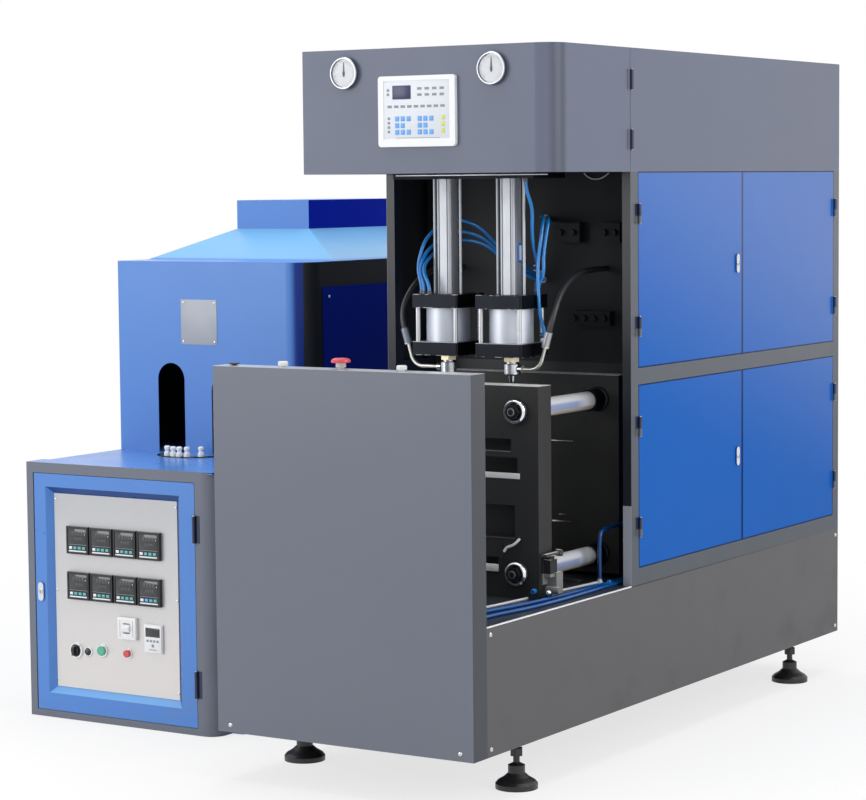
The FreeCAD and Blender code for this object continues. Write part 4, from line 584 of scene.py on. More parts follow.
core = metal("seal_core", (0.64, 0.66, 0.7), 0.24, grain=(1, 1, 30))
two_part(core, from_axis(core) > 32.5, (0.66, 0.65, 0.61), 0.34, 0.8)
FERRULE_Z = 1106
core.paint(core.z > FERRULE_Z, (0.42, 0.43, 0.46))
core.paint((core.z > FERRULE_Z) * (core.x < STATIONS[0]), (0.2, 0.22, 0.27))
print("station axes at x %.0f and %.0f, y %.0f" % (*STATIONS, STATION_Y))

# %% [markdown]
# Blackened flanges lose their black first along the edges. A narrow band on each edge is
# multiplied by a patchy noise, so the steel shows in places and not as a drawn line. Only the
# band on the lower flange's top edge runs all along.

# %% Rubbed flange edges
LOWER_TOP = 1116
UPPER_UNDERSIDE = 1208
flange = metal("flange_black", (0.018, 0.02, 0.025), 0.42, grain=(8, 8, 8), depth=0.00002)
rubbed = flange.fade(flange.noise(60, 3), 0.5, 0.6)
rim = (flange.z - (LOWER_TOP - 0.5)).size() < 1.0
for height in (flanges_low[2] + 0.5, UPPER_UNDERSIDE + 0.5, flanges_high[2] - 0.5):
    rim = rim | ((flange.z - height).size() < 0.9) * rubbed
for station in STATIONS:
    for edge in (station - HALF_FLANGE, station + HALF_FLANGE):
        rim = rim | ((flange.x - edge).size() < 1.1) * (flange.y < flanges_low[1] + 1.5) * rubbed
flange.paint(rim * 0.8, (0.36, 0.37, 0.4))
print("flanges from z %.0f to %.0f" % (flanges_low[2], flanges_high[2]))

# %% [markdown]
# The stop button is a red mushroom on a pale stem. The hinges are dark mouldings on the
# cabinet, with the lower half of each knuckle grey, as it is part of the frame.

# %% Stop button and hinges
stop = plastic("stop_finish", (0.66, 0.06, 0.08), 0.3, coat=0.5)
two_part(stop, stop.z < 1098, (0.62, 0.61, 0.6), 0.4)

HINGE_FEET = (585, 859, 1129, 1432)
hinges = plastic("hinge_finish", (0.008, 0.016, 0.05), 0.38, coat=0.4)
grey_halves = hinges.z < 0
for foot in HINGE_FEET:
    grey_halves = grey_halves | hinges.within(x=(WIDTH - 1, WIDTH + 20), z=(foot, foot + 21))
two_part(hinges, grey_halves, (0.11, 0.115, 0.13), 0.4)
print(len(HINGE_FEET), "rows of hinges")

# %% [markdown]
# The instrument plate is brushed steel that mirrors the pale floor low down and the darker
# room higher up; that painted reflection makes its colour drift from warm to cool. It lies in
# a recess of the oven's door, whose four bevels take the light differently, painted as shade
# and highlight: dark above and on the right, pale below.

# %% Instrument plate and control door
plate = metal("instrument_metal", (0.5, 0.505, 0.525), 0.42, grain=(60, 1, 1), depth=0.00003, metallic=0.5)
# The warm colour low down and the cool one higher up are a painted reflection.
warm = 1 - plate.fade(plate.z, 90, 600)
plate.paint(warm * 0.8, (0.68, 0.65, 0.63))
plate.paint(plate.fade(plate.z, 520, 640) * 0.5, (0.38, 0.385, 0.4))

leaf = enamel("control_door_enamel", OVEN_BLUE, rough=0.3, gloss=0.5)
slope = leaf.lean("Z")
# The bevels facing down and left are painted dark as painted shade, the one facing up pale as a painted
# highlight.
bevels = leaf.within(x=(-955, -385), y=(403.4, 425), z=(30, 700))
leaf.paint(bevels * (slope < -0.3) * 0.92, (0.004, 0.04, 0.2))
leaf.paint(bevels * (leaf.lean("X") < -0.3) * 0.92, (0.002, 0.03, 0.16))
leaf.paint(bevels * (slope > 0.3) * 0.7, (0.2, 0.47, 0.85))
print("instrument plate and control door")

# %% [markdown]
# The valves are black. The roller switch among them is a grey die casting with a black
# middle, and the faces on it that point up are painted pale as a painted highlight. Air tube
# is bright blue, and where it lies on the deck it is in the shade of the platens and is
# painted nearly navy as painted shade. The lamps and their shields are plain metal.

# %% Valves, air tube and lamps
valves = enamel("valve_finish", (0.013, 0.014, 0.017), rough=0.5, coat=0.0, gloss=0.15)
on_switch = valves.within(x=(676, 718), y=(505, 600), z=(460, 582))
valves.paint(on_switch, (0.07, 0.07, 0.072))
valves.paint(on_switch * valves.within(z=(522, 566)), (0.025, 0.025, 0.027))
valves.paint(on_switch * (valves.z < 522), (0.24, 0.24, 0.245))
# Faces pointing up on the switch are painted pale as a painted highlight.
valves.paint(on_switch * (valves.lean("Z") > 0.9), (0.7, 0.7, 0.68))

air = plastic("air_tube_blue", (0.008, 0.23, 0.66), 0.22, grain=90, coat=0.9)
# Near the deck the tube is painted nearly navy as painted shade.
air.paint((air.z < DECK_TOP + 32) * 0.75, (0.002, 0.06, 0.3))

metal("lamp_and_shield", (0.75, 0.74, 0.72), 0.25)
print(len(FINISHES), "finishes in all")

# %% [markdown]
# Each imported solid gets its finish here. The solids keep their place and mesh: only the
# material slot changes. What the last line lists as left are the hoses and air tubes, which
# are drawn anew further down.

# %% Dress the solids
DRESS = {
    "grey_enamel": ["control_cabinet"],
    "guard_enamel": ["front_guard_box"],
    "side_sheet_enamel": ["side_panels"],
    "frame_enamel": ["cabinet_frame"],
    "base_enamel": ["base_frame"],
    "header_enamel": ["header_shell", "header_cover"],
    "door_enamel": ["lower_front_door", "lower_rear_door", "upper_front_door", "upper_rear_door"],
    "oven_enamel": ["oven_base"],
    "stack_enamel": ["exhaust_stack"],
    "control_door_enamel": ["control_door"],
    "table_enamel": ["oven_table"],
    "navy_shade_enamel": ["oven_side_panel"],
    "hood_enamel": ["oven_hood"],
    "bay_black": ["bay_wall"],
    "platen_black": ["front_platen", "moving_platen", "rear_platen"],
    "valve_finish": ["air_valves"],
    "foot_black": ["levelling_feet"],
    "black_plastic": ["plain_button", "selector_switch"],
    "white_plastic": ["left_start_button", "right_start_button", "power_rocker"],
    "stop_finish": ["emergency_stop"],
    "polished_chrome": ["clamp_rod", "stretch_rod_left", "stretch_rod_right"],
    "gauge_chrome": ["pressure_gauges"],
    "handle_chrome": ["lower_door_handle", "upper_door_handle", "control_lock"],
    "tie_bar_finish": ["tie_bars"],
    "hinge_finish": ["hinge_pins"],
    # The hanger plate is painted black as painted shade.
    "black_oxide": ["clamp_cylinder", "hanger_plate"],
    "flange_black": ["seal_flanges"],
    "needle_grey": ["gauge_needle_left", "gauge_needle_right"],
    "panel_white": ["control_console", "preform_holders"],
    "dull_steel": ["carrier_chain"],
    "satin_extrusion": ["stretch_cylinders"],
    "satin_barrel": ["seal_barrels"],
    "tie_and_gland": ["seal_tie_rods"],
    "seal_core": ["seal_rod_left", "seal_rod_right"],
    "lamp_and_shield": ["heating_banks"],
    "instrument_metal": ["instrument_plate"],
    "meter_black": ["panel_instruments"],
    "button_green": ["green_button"],
    "button_red": ["red_button"],
    "zinc_plate": ["panel_screws"],
}
dressed = set()
for finish_name, nodes in DRESS.items():
    for node in nodes:
        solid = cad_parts[node]
        solid.data.materials.clear()
        solid.data.materials.append(FINISHES[finish_name])
        dressed.add(node)
print(len(dressed), "solids dressed; left:", sorted(set(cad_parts) - dressed))

# %% [markdown]
# Small parts are drawn with three forms: a box with softened edges, a form turned from a
# profile of radius and height, and a flat outline pushed along an axis. One collector joins
# many of them into one mesh piece, which then rides on the body that carries it.

# %% The piece collector
class Parts:
    """Small forms gathered into one mesh piece."""

    def __init__(self):
        self.mesh = bmesh.new()

    def box(self, low, high, edge=0.8, steps=2):
        cube = bmesh.ops.create_cube(self.mesh, size=2)["verts"]
        for corner in cube:
            pick = [low[i] if corner.co[i] < 0 else high[i] for i in range(3)]
            corner.co = at(*pick)
        if edge:
            edges = list({e for corner in cube for e in corner.link_edges})
            bmesh.ops.bevel(self.mesh, geom=edges, offset=edge / 1000, segments=steps, profile=0.5,
                            affect="EDGES")
        return self

    def turned(self, centre, axis, profile, sides=32):
        """A form turned about an axis; the profile starts and ends at radius 0, or closes."""
        aim = Vector(axis).to_track_quat("Z", "Y")
        rings = []
        for radius, height in profile:
            ring = []
            for k in range(sides if radius else 1):
                angle = math.tau * (k + 0.5) / sides
                local = Vector((radius * math.cos(angle), radius * math.sin(angle), height))
                ring.append(self.mesh.verts.new(at(*(Vector(centre) + aim @ local))))
            rings.append(ring)
        for one, two in zip(rings, rings[1:]):
            for k in range(sides):
                loop = [one[k % len(one)], one[(k + 1) % len(one)],
                        two[(k + 1) % len(two)], two[k % len(two)]]
                loop = list(dict.fromkeys(loop))
                if len(loop) > 2:
                    self.mesh.faces.new(loop)
        return self

    def ring(self, centre, axis, inner, outer, height, lip=0.6):
        """A collar round a tube or a button, with a softened outer lip."""
        profile = [(inner, 0), (outer, 0), (outer, height - lip), (outer - lip, height),
                   (inner, height), (inner, 0)]
        return self.turned(centre, axis, profile)

    def prism(self, outline, low, high, axis="y", edge=0.0):
        """A flat outline pushed along an axis, from one height to another."""
        order = {"x": lambda a, b, h: (h, a, b), "y": lambda a, b, h: (a, h, b),
                 "z": lambda a, b, h: (a, b, h)}
        ends = []
        for h in (low, high):
            ends.append([self.mesh.verts.new(at(*order[axis](a, b, h))) for a, b in outline])
        count = len(outline)
        faces = [self.mesh.faces.new(ends[0]), self.mesh.faces.new(list(reversed(ends[1])))]
        for k in range(count):
            n = (k + 1) % count
            faces.append(self.mesh.faces.new([ends[0][k], ends[1][k], ends[1][n], ends[0][n]]))
        if edge:
            rim = list(faces[0].edges) + list(faces[1].edges)
            bmesh.ops.bevel(self.mesh, geom=rim, offset=edge / 1000, segments=2, profile=0.5, affect="EDGES")
        return self

    def done(self, name, finish, body, slot):
        bmesh.ops.remove_doubles(self.mesh, verts=self.mesh.verts, dist=0.000001)
        bmesh.ops.recalc_face_normals(self.mesh, faces=self.mesh.faces)
        data = bpy.data.meshes.new(name)
        self.mesh.to_mesh(data)
        self.mesh.free()
        data.shade_smooth()
        data.set_sharp_from_angle(angle=math.radians(35))
        data.materials.append(FINISHES[finish])
        piece = bpy.data.objects.new(name, data)
        bpy.context.scene.collection.objects.link(piece)
        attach(piece, body)
        return piece


FRONT = (0, -1, 0)
BACK = (0, 1, 0)
RIGHT = (1, 0, 0)
UP = (0, 0, 1)
DOWN = (0, 0, -1)
print("piece collector ready")

# %% [markdown]
# A hose, tube or lead has no corners: it takes its bends slowly. A NURBS curve leans into
# the corners of its control points just so, and a round bevel gives it its thickness.

# %% Hoses, tubes and leads
def wire(name, points, radius, finish, body, slot):
    """A bent wire or tube: one smooth curve through its control points."""
    curve = bpy.data.curves.new(name, "CURVE")
    curve.dimensions = "3D"
    curve.bevel_depth = radius / 1000
    curve.bevel_resolution = 4
    curve.use_fill_caps = True
    spline = curve.splines.new("NURBS")
    spline.points.add(len(points) - 1)
    for point, spot in zip(spline.points, points):
        point.co = (*at(*spot), 1)
    spline.order_u = 3
    spline.use_endpoint_u = True
    spline.resolution_u = 10
    curve.materials.append(FINISHES[finish])
    piece = bpy.data.objects.new(name, curve)
    bpy.context.scene.collection.objects.link(piece)
    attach(piece, body)
    return piece


def hose(name, points, radius, finish, slot="tube"):
    """A hose or lead that leaves the machine at its first point and goes back in at its last."""
    piece = wire(name, points, radius, finish, "machine", slot)
    at(*points[0])
    return piece


print("hose helper ready")

# %% [markdown]
# ## The control panel on the header
# A white bezel holds a printed membrane: a small dark display, two rows of grey marks, a
# row of nine more, and raised keys in blue and yellow. The keys are thin cushions, so each
# is a softened box only a millimetre high.

# %% Membrane, display and keys
FIELD_FACE = 409.5
KEY_HEIGHT = 1.3

Parts().prism([(268, 1662), (470, 1662), (470, 1813), (268, 1813)], FIELD_FACE - 0.5, FIELD_FACE + 0.2,
              edge=0.2).done("console_membrane", "membrane", "header_cover_body", "console")
display = Parts().box((295, FIELD_FACE - 1.4, 1765), (352, FIELD_FACE, 1801), 0.5)
display.done("console_display", "display_blue", "header_cover_body", "meter")

marks = Parts()
mark_spots = [(281, z) for z in (1789, 1778)]
mark_spots += [(379 + 23 * i, z) for i in range(4) for z in (1792, 1776)]
mark_spots += [(286 + 20.5 * i, 1746) for i in range(9)]
mark_spots += [(283, 1715 - 11.5 * i) for i in range(4)]
for x, z in mark_spots:
    half = 4 if x < 284 else 7
    marks.box((x - half, FIELD_FACE - 0.9, z - 3.4), (x + half, FIELD_FACE - 0.3, z + 3.4), 0.25, 1)
marks.box((305, FIELD_FACE - 0.8, 1663.5), (441, FIELD_FACE - 0.3, 1664.7), 0)
marks.done("console_marks", "grey_print", "header_cover_body", "meter")

blue_keys = Parts()
KEY_ROWS = (1714, 1696.5, 1679)
for first in (309, 379.5):
    for column, gap in enumerate((0, 17.5, 36)):
        for row, z in enumerate(KEY_ROWS):
            if column == 2 and row == 1:
                continue
            x = first + gap
            blue_keys.box((x - 6.4, FIELD_FACE - KEY_HEIGHT, z - 6.4), (x + 6.4, FIELD_FACE, z + 6.4), 1.0)
blue_keys.done("console_keys_blue", "key_blue", "header_cover_body", "tube")
yellow_keys = Parts()
for z in (1716, 1699, 1681.5):
    yellow_keys.box((447, FIELD_FACE - KEY_HEIGHT, z - 5.5), (457, FIELD_FACE, z + 5.5), 1.0)
yellow_keys.done("console_keys_yellow", "key_yellow", "header_cover_body", "console")
print(len(mark_spots), "marks, 16 blue keys, 3 yellow keys")

# %% [markdown]
# ## Pressure gauges
# Each chrome case holds a white dial with a ring of ticks, and a thin flat glass in front of
# the needle. The needle is a solid of its own, because it moves.

# %% Dials, ticks and glass
keep(Finish("gauge_glass", (1.0, 1.0, 1.0), 0.03, Transmission_Weight=1.0, IOR=1.1))
GAUGE_Z = 1838
TICKS = 28
SWEEP_START = 225
for side, x in (("left", 140), ("right", 597)):
    dial = Parts().turned((x, 412, GAUGE_Z), FRONT, [(0, 0.1), (36.2, 0.1), (36.2, 0.9), (0, 0.9)], 48)
    dial.done("gauge_dial_" + side, "dial_white", "header_cover_body", "console")
    ticks = Parts()
    for i in range(TICKS):
        angle = math.radians(SWEEP_START - 10 * i)
        long = 6 if i % 3 == 0 else 3.5
        way = Vector((math.cos(angle), math.sin(angle)))
        across = Vector((-way.y, way.x)) * (0.6 if long == 6 else 0.35)
        inner, outer = way * (33 - long), way * 33
        outline = [(x + p.x, GAUGE_Z + p.y)
                   for p in (inner - across, outer - across, outer + across, inner + across)]
        ticks.prism(outline, 411.0, 410.7)
    ticks.done("gauge_ticks_" + side, "grey_print", "header_cover_body", "needle")
    pane = Parts().turned((x, 407.4, GAUGE_Z), FRONT, [(0, 0), (37.4, 0), (37.4, 0.8), (0, 0.8)], 48)
    pane.done("gauge_glass_" + side, "gauge_glass", "header_cover_body", "lamp")
print("two gauges dressed")

# %% [markdown]
# ## The oven's control door
# Eight square temperature controllers stand in two rows of four. Each face has a smoked
# window with two dim rows of segments, a thin line, a row of small keys and a pale strip
# along its foot. Their depth comes from the plate's own box, so that they stay on it.

# %% Controller faces
PLATE_FACE = corners("instrument_plate")[0][1]
CONTROLLER_STAND = 12
CONTROLLER_RECESS = 1.5
CONTROLLER_FLOOR = PLATE_FACE - CONTROLLER_STAND + CONTROLLER_RECESS
LAMP_DOT = [(0, 0), (1.6, 0), (1.3, 0.6), (0, 0.8)]
CONTROLLER_PITCH = 86.5
CONTROLLER_ROW = 133


def controller_plate(parts, x, z, left, right, low, high, stand, edge=0.3):
    """A small raised bar on a controller's face, from the face's lower left corner."""
    parts.box((x + left, CONTROLLER_FLOOR - stand, z + low),
              (x + right, CONTROLLER_FLOOR + 0.1, z + high), edge)


windows, segments, lines, keys, strips, blue_row, dots = (Parts() for _ in range(7))
for row in range(2):
    for column in range(4):
        x = -848 + CONTROLLER_PITCH * column
        z = 353 + CONTROLLER_ROW * row
        last = row == 0 and column == 3
        controller_plate(windows, x, z, 7, 73, 31, 73, 0.9)
        for digit in range(4):
            controller_plate(segments, x, z, 20 + 11 * digit, 28 + 11 * digit, 54, 66, 1.2)
            controller_plate(segments, x, z, 28 + 8 * digit, 33.5 + 8 * digit, 40, 48, 1.2)
        controller_plate(lines, x, z, 7, 73, 27, 28.4, 0.8)
        for k in range(4):
            holder = (blue_row if last and k < 2 else keys) if k else strips
            controller_plate(holder, x, z, 10 + 16 * k, 21 + 16 * k, 14, 22, 1.6, 0.7)
        controller_plate(strips, x, z, 8, 72, 6.5, 10.5, 0.8)
        dots.turned((x + 68, CONTROLLER_FLOOR - 0.8, z + 58), FRONT, LAMP_DOT, 12)
windows.done("controller_windows", "smoked_window", "control_leaf", "meter")
segments.done("controller_segments", "dim_print", "control_leaf", "meter")
lines.done("controller_lines", "grey_print", "control_leaf", "meter")
keys.done("controller_keys", "key_teal", "control_leaf", "tube")
blue_row.done("controller_keys_blue", "key_blue", "control_leaf", "tube")
strips.done("controller_strips", "membrane", "control_leaf", "white")
dots.done("controller_lamps", "white_plastic", "control_leaf", "white")
print("eight controller faces")

# %% [markdown]
# The counter under them is a pale moulding with a dark display, a row of four keys, a round
# key and a printed line. Its frame covers the edge of the cut-out in the plate.

# %% Counter
counter = Parts().box((-569, PLATE_FACE - 9.4, 221), (-508, PLATE_FACE - 6.2, 299), 1.2)
counter.box((-571, PLATE_FACE - 6.4, 219), (-506, PLATE_FACE, 301), 1.0)
counter.done("counter_face", "white_plastic", "control_leaf", "white")
counter_window = Parts().box((-564, PLATE_FACE - 10.4, 266), (-513, PLATE_FACE - 9.2, 292), 0.4)
counter_window.done("counter_window", "smoked_window", "control_leaf", "meter")
counter_keys = Parts()
for k in range(4):
    counter_keys.box((-561 + 12 * k, PLATE_FACE - 10.2, 251), (-553 + 12 * k, PLATE_FACE - 9.2, 257.5), 0.6)
counter_keys.turned((-538.5, PLATE_FACE - 9.2, 241), FRONT, [(0, 0), (5, 0), (5, 0.6), (4.4, 1), (0, 1)], 20)
counter_keys.box((-552, PLATE_FACE - 9.9, 228), (-525, PLATE_FACE - 9.2, 230.5), 0.2)
counter_keys.done("counter_keys", "grey_print", "control_leaf", "meter")
print("counter")

# %% [markdown]
# The power switch is a rocker in a white moulded frame. The frame is four bars round the
# opening in which the rocker tilts, wide enough to hide the housing behind it.

# %% Rocker frame
ROCKER_X = -632
ROCKER_Z = 283
frame_white = Parts()
for low_x, high_x, low_z, high_z in ((-33, -12.8, -32, 32), (12.8, 33, -32, 32),
                                     (-13.4, 13.4, 14.8, 32), (-13.4, 13.4, -32, -14.8)):
    frame_white.box((ROCKER_X + low_x, PLATE_FACE - 11.4, ROCKER_Z + low_z),
                    (ROCKER_X + high_x, PLATE_FACE, ROCKER_Z + high_z), 0.8)
frame_white.done("rocker_frame", "white_plastic", "control_leaf", "white")
groove = Parts()
for side in (-24, 22.6):
    groove.box((ROCKER_X + side, PLATE_FACE - 11.7, ROCKER_Z - 24),
               (ROCKER_X + side + 1.4, PLATE_FACE - 11.3, ROCKER_Z + 24), 0)
groove.done("rocker_frame_lines", "grey_print", "control_leaf", "white")
print("rocker frame")

# %% [markdown]
# Every push button stands in a chromed collar, and the plate is held by six dome rivets. A
# collar is a ring that clears the moving cap by half a millimetre.

# %% Button collars and rivets
collars = Parts()
for x, z, inner, outer, height in ((-827, 202, 18.4, 23.5, 5), (-782, 202, 11.4, 15, 4),
                                   (-729.5, 209.5, 14.6, 19, 6), (-636, 209.5, 11.6, 15.5, 5)):
    collars.ring((x, PLATE_FACE, z), FRONT, inner, outer, height, 1.2)
collars.done("button_collars", "polished_chrome", "control_leaf", "chrome")
rivets = Parts()
for x in (-896, -455.5):
    for z in (110, 375, 640):
        rivets.turned((x, PLATE_FACE, z), FRONT, [(0, 0), (3.8, 0), (3.3, 1.2), (1.8, 1.9), (0, 2.1)], 20)
rivets.done("instrument_plate_rivets", "zinc_plate", "control_leaf", "steel")
print("collars and rivets")

# %% [markdown]
# ## Locks and hinges
# The oval handles on the doors turn round a lock barrel. The barrel stands a little proud
# and has a dark key slot. It rides on the handle, so it turns with it.

# %% Lock barrels and key slots
BARREL = [(0, 0), (7.2, 0), (7.2, 1.4), (6.2, 2.4), (0, 2.4)]
LOCKS = (("lower_handle", (785, 1473.2, 748.5), RIGHT, (2.4, 0, 0), (0.5, 0.8, 4.5)),
         ("upper_handle", (785, 1473.2, 1307), RIGHT, (2.4, 0, 0), (0.5, 0.8, 4.5)),
         ("lock", (-941, 398, 368.5), FRONT, (0, -2.4, 0), (0.8, 0.5, 4.5)))
for body, centre, way, proud, half in LOCKS:
    Parts().turned(centre, way, BARREL, 28).done(body + "_barrel", "zinc_plate", body, "chrome")
    face = Vector(centre) + Vector(proud)
    slot = Parts().box(tuple(face - Vector(half)), tuple(face + Vector(half)), 0)
    slot.done(body + "_key_slot", "needle_black", body, "needle")
print(len(LOCKS), "lock barrels")

# %% [markdown]
# The hinge pins end in small bright heads, which show as dots at both ends of each knuckle.
# Loops place them on all hinges of the cabinet, the header and the oven's door.

# %% Hinge pin heads
heads = Parts()
HEAD = [(0, 0), (3.6, 0), (3.2, 1.0), (1.6, 1.7), (0, 1.8)]
door_hinges = [(y, foot) for y in (865, 2159) for foot in HINGE_FEET] + [(823, 1630), (823, 1789)]
for y, foot in door_hinges:
    heads.turned((786, y, foot + 53), UP, HEAD, 20)
    heads.turned((786, y, foot), DOWN, HEAD, 20)
for foot in (107, 547):
    heads.turned((-376, 397, foot + 77), UP, HEAD, 20)
    heads.turned((-376, 397, foot), DOWN, HEAD, 20)
heads.done("hinge_pin_heads", "zinc_plate", "machine", "steel")
print(len(door_hinges) + 2, "hinges with pin heads")

# %% [markdown]
# ## Oven hood
# A bare metal plate is riveted to the hood above the arch. The dark frame of the hood's
# right side holds a navy panel with white-capped screws, of which the front ones are seen
# past the moulding machine.

# %% Bare plate and panel screws
HOOD_FACE = 812
PLATE_X = (-729, -596)
PLATE_Z = (1073, 1207)
bare = Parts().box((PLATE_X[0], HOOD_FACE - 1.3, PLATE_Z[0]), (PLATE_X[1], HOOD_FACE, PLATE_Z[1]), 0.5)
bare.done("hood_plate", "bare_plate", "machine", "steel")
RIVET = [(0, 0), (3.8, 0), (3.4, 1.1), (1.8, 1.8), (0, 2)]
plate_rivets = Parts()
for x in (PLATE_X[0] + 9, PLATE_X[1] - 9):
    for z in (PLATE_Z[0] + 9, PLATE_Z[1] - 9):
        plate_rivets.turned((x, HOOD_FACE - 1.3, z), FRONT, RIVET, 20)
plate_rivets.done("hood_plate_rivets", "zinc_plate", "machine", "steel")
caps = Parts()
for y in (930, 1400, 1870):
    for z in (800, 1218):
        caps.turned((-273, y, z), RIGHT, [(0, 0), (4.5, 0), (4.0, 1.2), (2.0, 2.0), (0, 2.1)], 20)
caps.done("side_panel_screws", "white_plastic", "machine", "steel")
print("bare plate, 4 rivets and 6 panel screws")

# %% [markdown]
# Infra-red lamps end in white ceramic caps, which sit in the brackets at both ends of the
# bank. Their pale ends show through the arch.

# %% Lamp end caps
LAMP_CAP = [(0, 0), (6.6, 0), (6.6, 13.9), (0, 13.9)]
LOWEST_LAMP = 832
LAMP_PITCH = 25
lamp_caps = Parts()
for x in (-702, -638):
    for i in range(8):
        for y, way in ((894, FRONT), (1776, BACK)):
            lamp_caps.turned((x, y, LOWEST_LAMP + LAMP_PITCH * i), way, LAMP_CAP, 20)
lamp_caps.done("lamp_caps", "lamp_ceramic", "machine", "lamp")
print("32 lamp caps")

# %% [markdown]
# ## Inside the blow bay
# Thin air tubes end in push-in fittings: a steel collar with a narrower release ring. The
# collar is a closed ring round the tube, so that the tube passes through it. Where a tube
# goes through the wall it has a flat rubber grommet.

# %% Push-in fittings and grommets
FITTING = [(5.1, 0), (6.9, 0), (6.9, 5.5), (6.3, 6), (6.3, 9), (5.1, 9), (5.1, 0)]
FITTINGS = (((228, 649, 1245), UP), ((247, 632, 1245), UP), ((266, 628, 1245), UP),
            ((532, 743, 1245), UP), ((552, 723, 1245), UP), ((562.5, 715, 1134), RIGHT),
            ((554, 655, 1556), DOWN))
fittings = Parts()
for spot, way in FITTINGS:
    fittings.turned(spot, way, FITTING, 24)
fittings.done("push_in_fittings", "dull_steel", "machine", "steel")
grommets = Parts()
for x, z in ((385, 1305), (398, 1289), (410, 1273), (420, 1445)):
    grommets.ring((x, 1000, z), FRONT, 5.2, 10, 4, 1)
grommets.done("wall_grommets", "grey_print", "machine", "black")
print(len(FITTINGS), "fittings, 4 grommets")

# %% [markdown]
# A bright strip along the front of the hanger plate, running a little past its end, is a
# painted highlight of the plate's lit lower edge, and the plate itself is painted black as
# painted shade. A blue magnetic sensor with a clear scale is clipped to the right cylinder.

# %% Painted edge highlight and sensor
hanger_low, hanger_high = corners("hanger_plate")
# The strip is a painted highlight of the plate's lit lower edge.
hanger_highlight_strip = Parts().box((hanger_low[0] + 10, hanger_low[1] - 3, hanger_low[2] + 8.5),
                         (hanger_high[0] + 45, hanger_low[1], hanger_low[2] + 12), 0.4)
hanger_highlight_strip.done("hanger_edge_highlight", "ground_steel", "machine", "steel")
sensor = Parts().box((512.5, 679, 1331), (516.5, 701, 1383), 1.6, 3)
sensor.done("sensor_head", "sensor_glass", "machine", "lamp")
scale = Parts().box((516, 684, 1337), (517, 695, 1377), 0.3)
scale.done("sensor_scale", "panel_white", "machine", "white")
print("hanger plate from", [round(v) for v in hanger_low], "to", [round(v) for v in hanger_high])

# %% [markdown]
# ## The mould clamp
# The front platen is a blackened steel plate. It carries a white block at its foot, a white
# bar near its middle, and two ledges whose lit edges are drawn as thin bright strips, as
# painted highlights. The tie bars come through it with threaded ends, nuts and domed washers,
# whose rims mirror the light at the open side of the bay as a bright crescent.

# %% Front platen trim
ledge_highlights = Parts()
ledge_highlights.box((185, PLATEN_FACE - 1.2, 840), (595, PLATEN_FACE, 842.4), 0.4)
ledge_highlights.box((174, PLATEN_FACE - 1.2, 611.5), (606, PLATEN_FACE, 613.5), 0.4)
ledge_highlights.done("platen_ledge_highlights", "ground_steel", "machine", "steel")
bar = Parts().box((158, PLATEN_FACE - 1.4, 770), (622, PLATEN_FACE + 0.5, 785), 0.6)
bar.done("platen_bar", "white_plastic", "machine", "white")
block = Parts().box((224, 492, 522), (556, PLATEN_FACE + 0.5, 541), 1.2)
for x in (240, 390, 540):
    block.turned((x, 492, 531.5), FRONT, [(0, 0), (4, 0), (3.6, 1), (0, 1)], 16)
block.done("platen_block", "white_plastic", "machine", "white")
TIE_PLACES = [(x, z) for x in (166, 614) for z in (520, 948)]
STUD_END = 468
bright_rims = Parts()
sockets = Parts()
domes = Parts()
DOME = [(21.5, 0), (21.5, 4.5), (24, 7), (27.5, 7.6), (30.5, 5.6), (32.4, 2.6), (32.8, 0), (21.5, 0)]
for x, z in TIE_PLACES:
    bright_rims.ring((x, STUD_END, z), FRONT, 8, 10.5, 0.8, 0.3)
    domes.turned((x, 488, z), FRONT, DOME, 48)
    sockets.turned((x, STUD_END, z), FRONT, [(0, 0), (6.5, 0), (6.5, 0.4), (0, 0.4)], 6)
bright_rims.done("tie_bar_rims", "ground_steel", "machine", "steel")
sockets.done("tie_bar_sockets", "needle_black", "machine", "black")
domes.done("tie_bar_domes", "polished_chrome", "machine", "chrome")

print("platen trimmed,", len(TIE_PLACES), "tie bar ends")

# %% [markdown]
# No mould is fitted, so the four holes for its bolts are closed in both platens by black
# plugs with a small recess, which keep the dirt out of the threads.

# %% Bolt plugs
MOVING_FACE = 942
PLUG = [(0, 0), (6.2, 0), (6.2, 4.2), (5.6, 4.8), (3, 4.8), (3, 3), (0, 3)]
MOULD_BOLTS = [(x, z) for x in (210, 570) for z in (590, 890)]
for piece_name, face, body in (("front_bolt_plugs", PLATEN_FACE, "machine"),
                               ("moving_bolt_plugs", MOVING_FACE, "clamp")):
    plugs = Parts()
    for x, z in MOULD_BOLTS:
        plugs.turned((x, face + 4, z), FRONT, PLUG, 20)
    plugs.done(piece_name, "platen_black", body, "black")
print(len(MOULD_BOLTS), "plugs in each platen")

# %% [markdown]
# A thin sensor lead runs along the platen's foot to a protective sleeve, which carries it
# round the platen's edge.

# %% Sensor lead
hose("sensor_lead", [(552, 495, 538), (562, 494, 552), (571, 494, 566), (577, 494, 578)], 1.6,
     "needle_black", slot="black")
hose("sensor_sleeve", [(576, 494, 577), (582, 493, 588), (596, 493, 592), (608, 494, 598),
                       (618, 496, 608), (620, 500, 612)], 3.6, "panel_white", slot="white")
print("sensor lead")

# %% [markdown]
# The moving platen's front has three machined steps, whose lit edges are drawn as thin bright
# strips behind the tie bars, as painted highlights, and dark flanged bushes that guide it
# along them. They ride with the clamp.

# %% Moving platen steps and guide bushes
steps = Parts()
for left, right_end, z, half in ((466, 527, 601, 1.9), (488, 511, 621, 1.3), (466, 534, 827, 1.3)):
    steps.box((left, MOVING_FACE - 1, z - half), (right_end, MOVING_FACE + 0.4, z + half), 0.3)
steps.done("moving_platen_step_highlights", "ground_steel", "clamp", "steel")

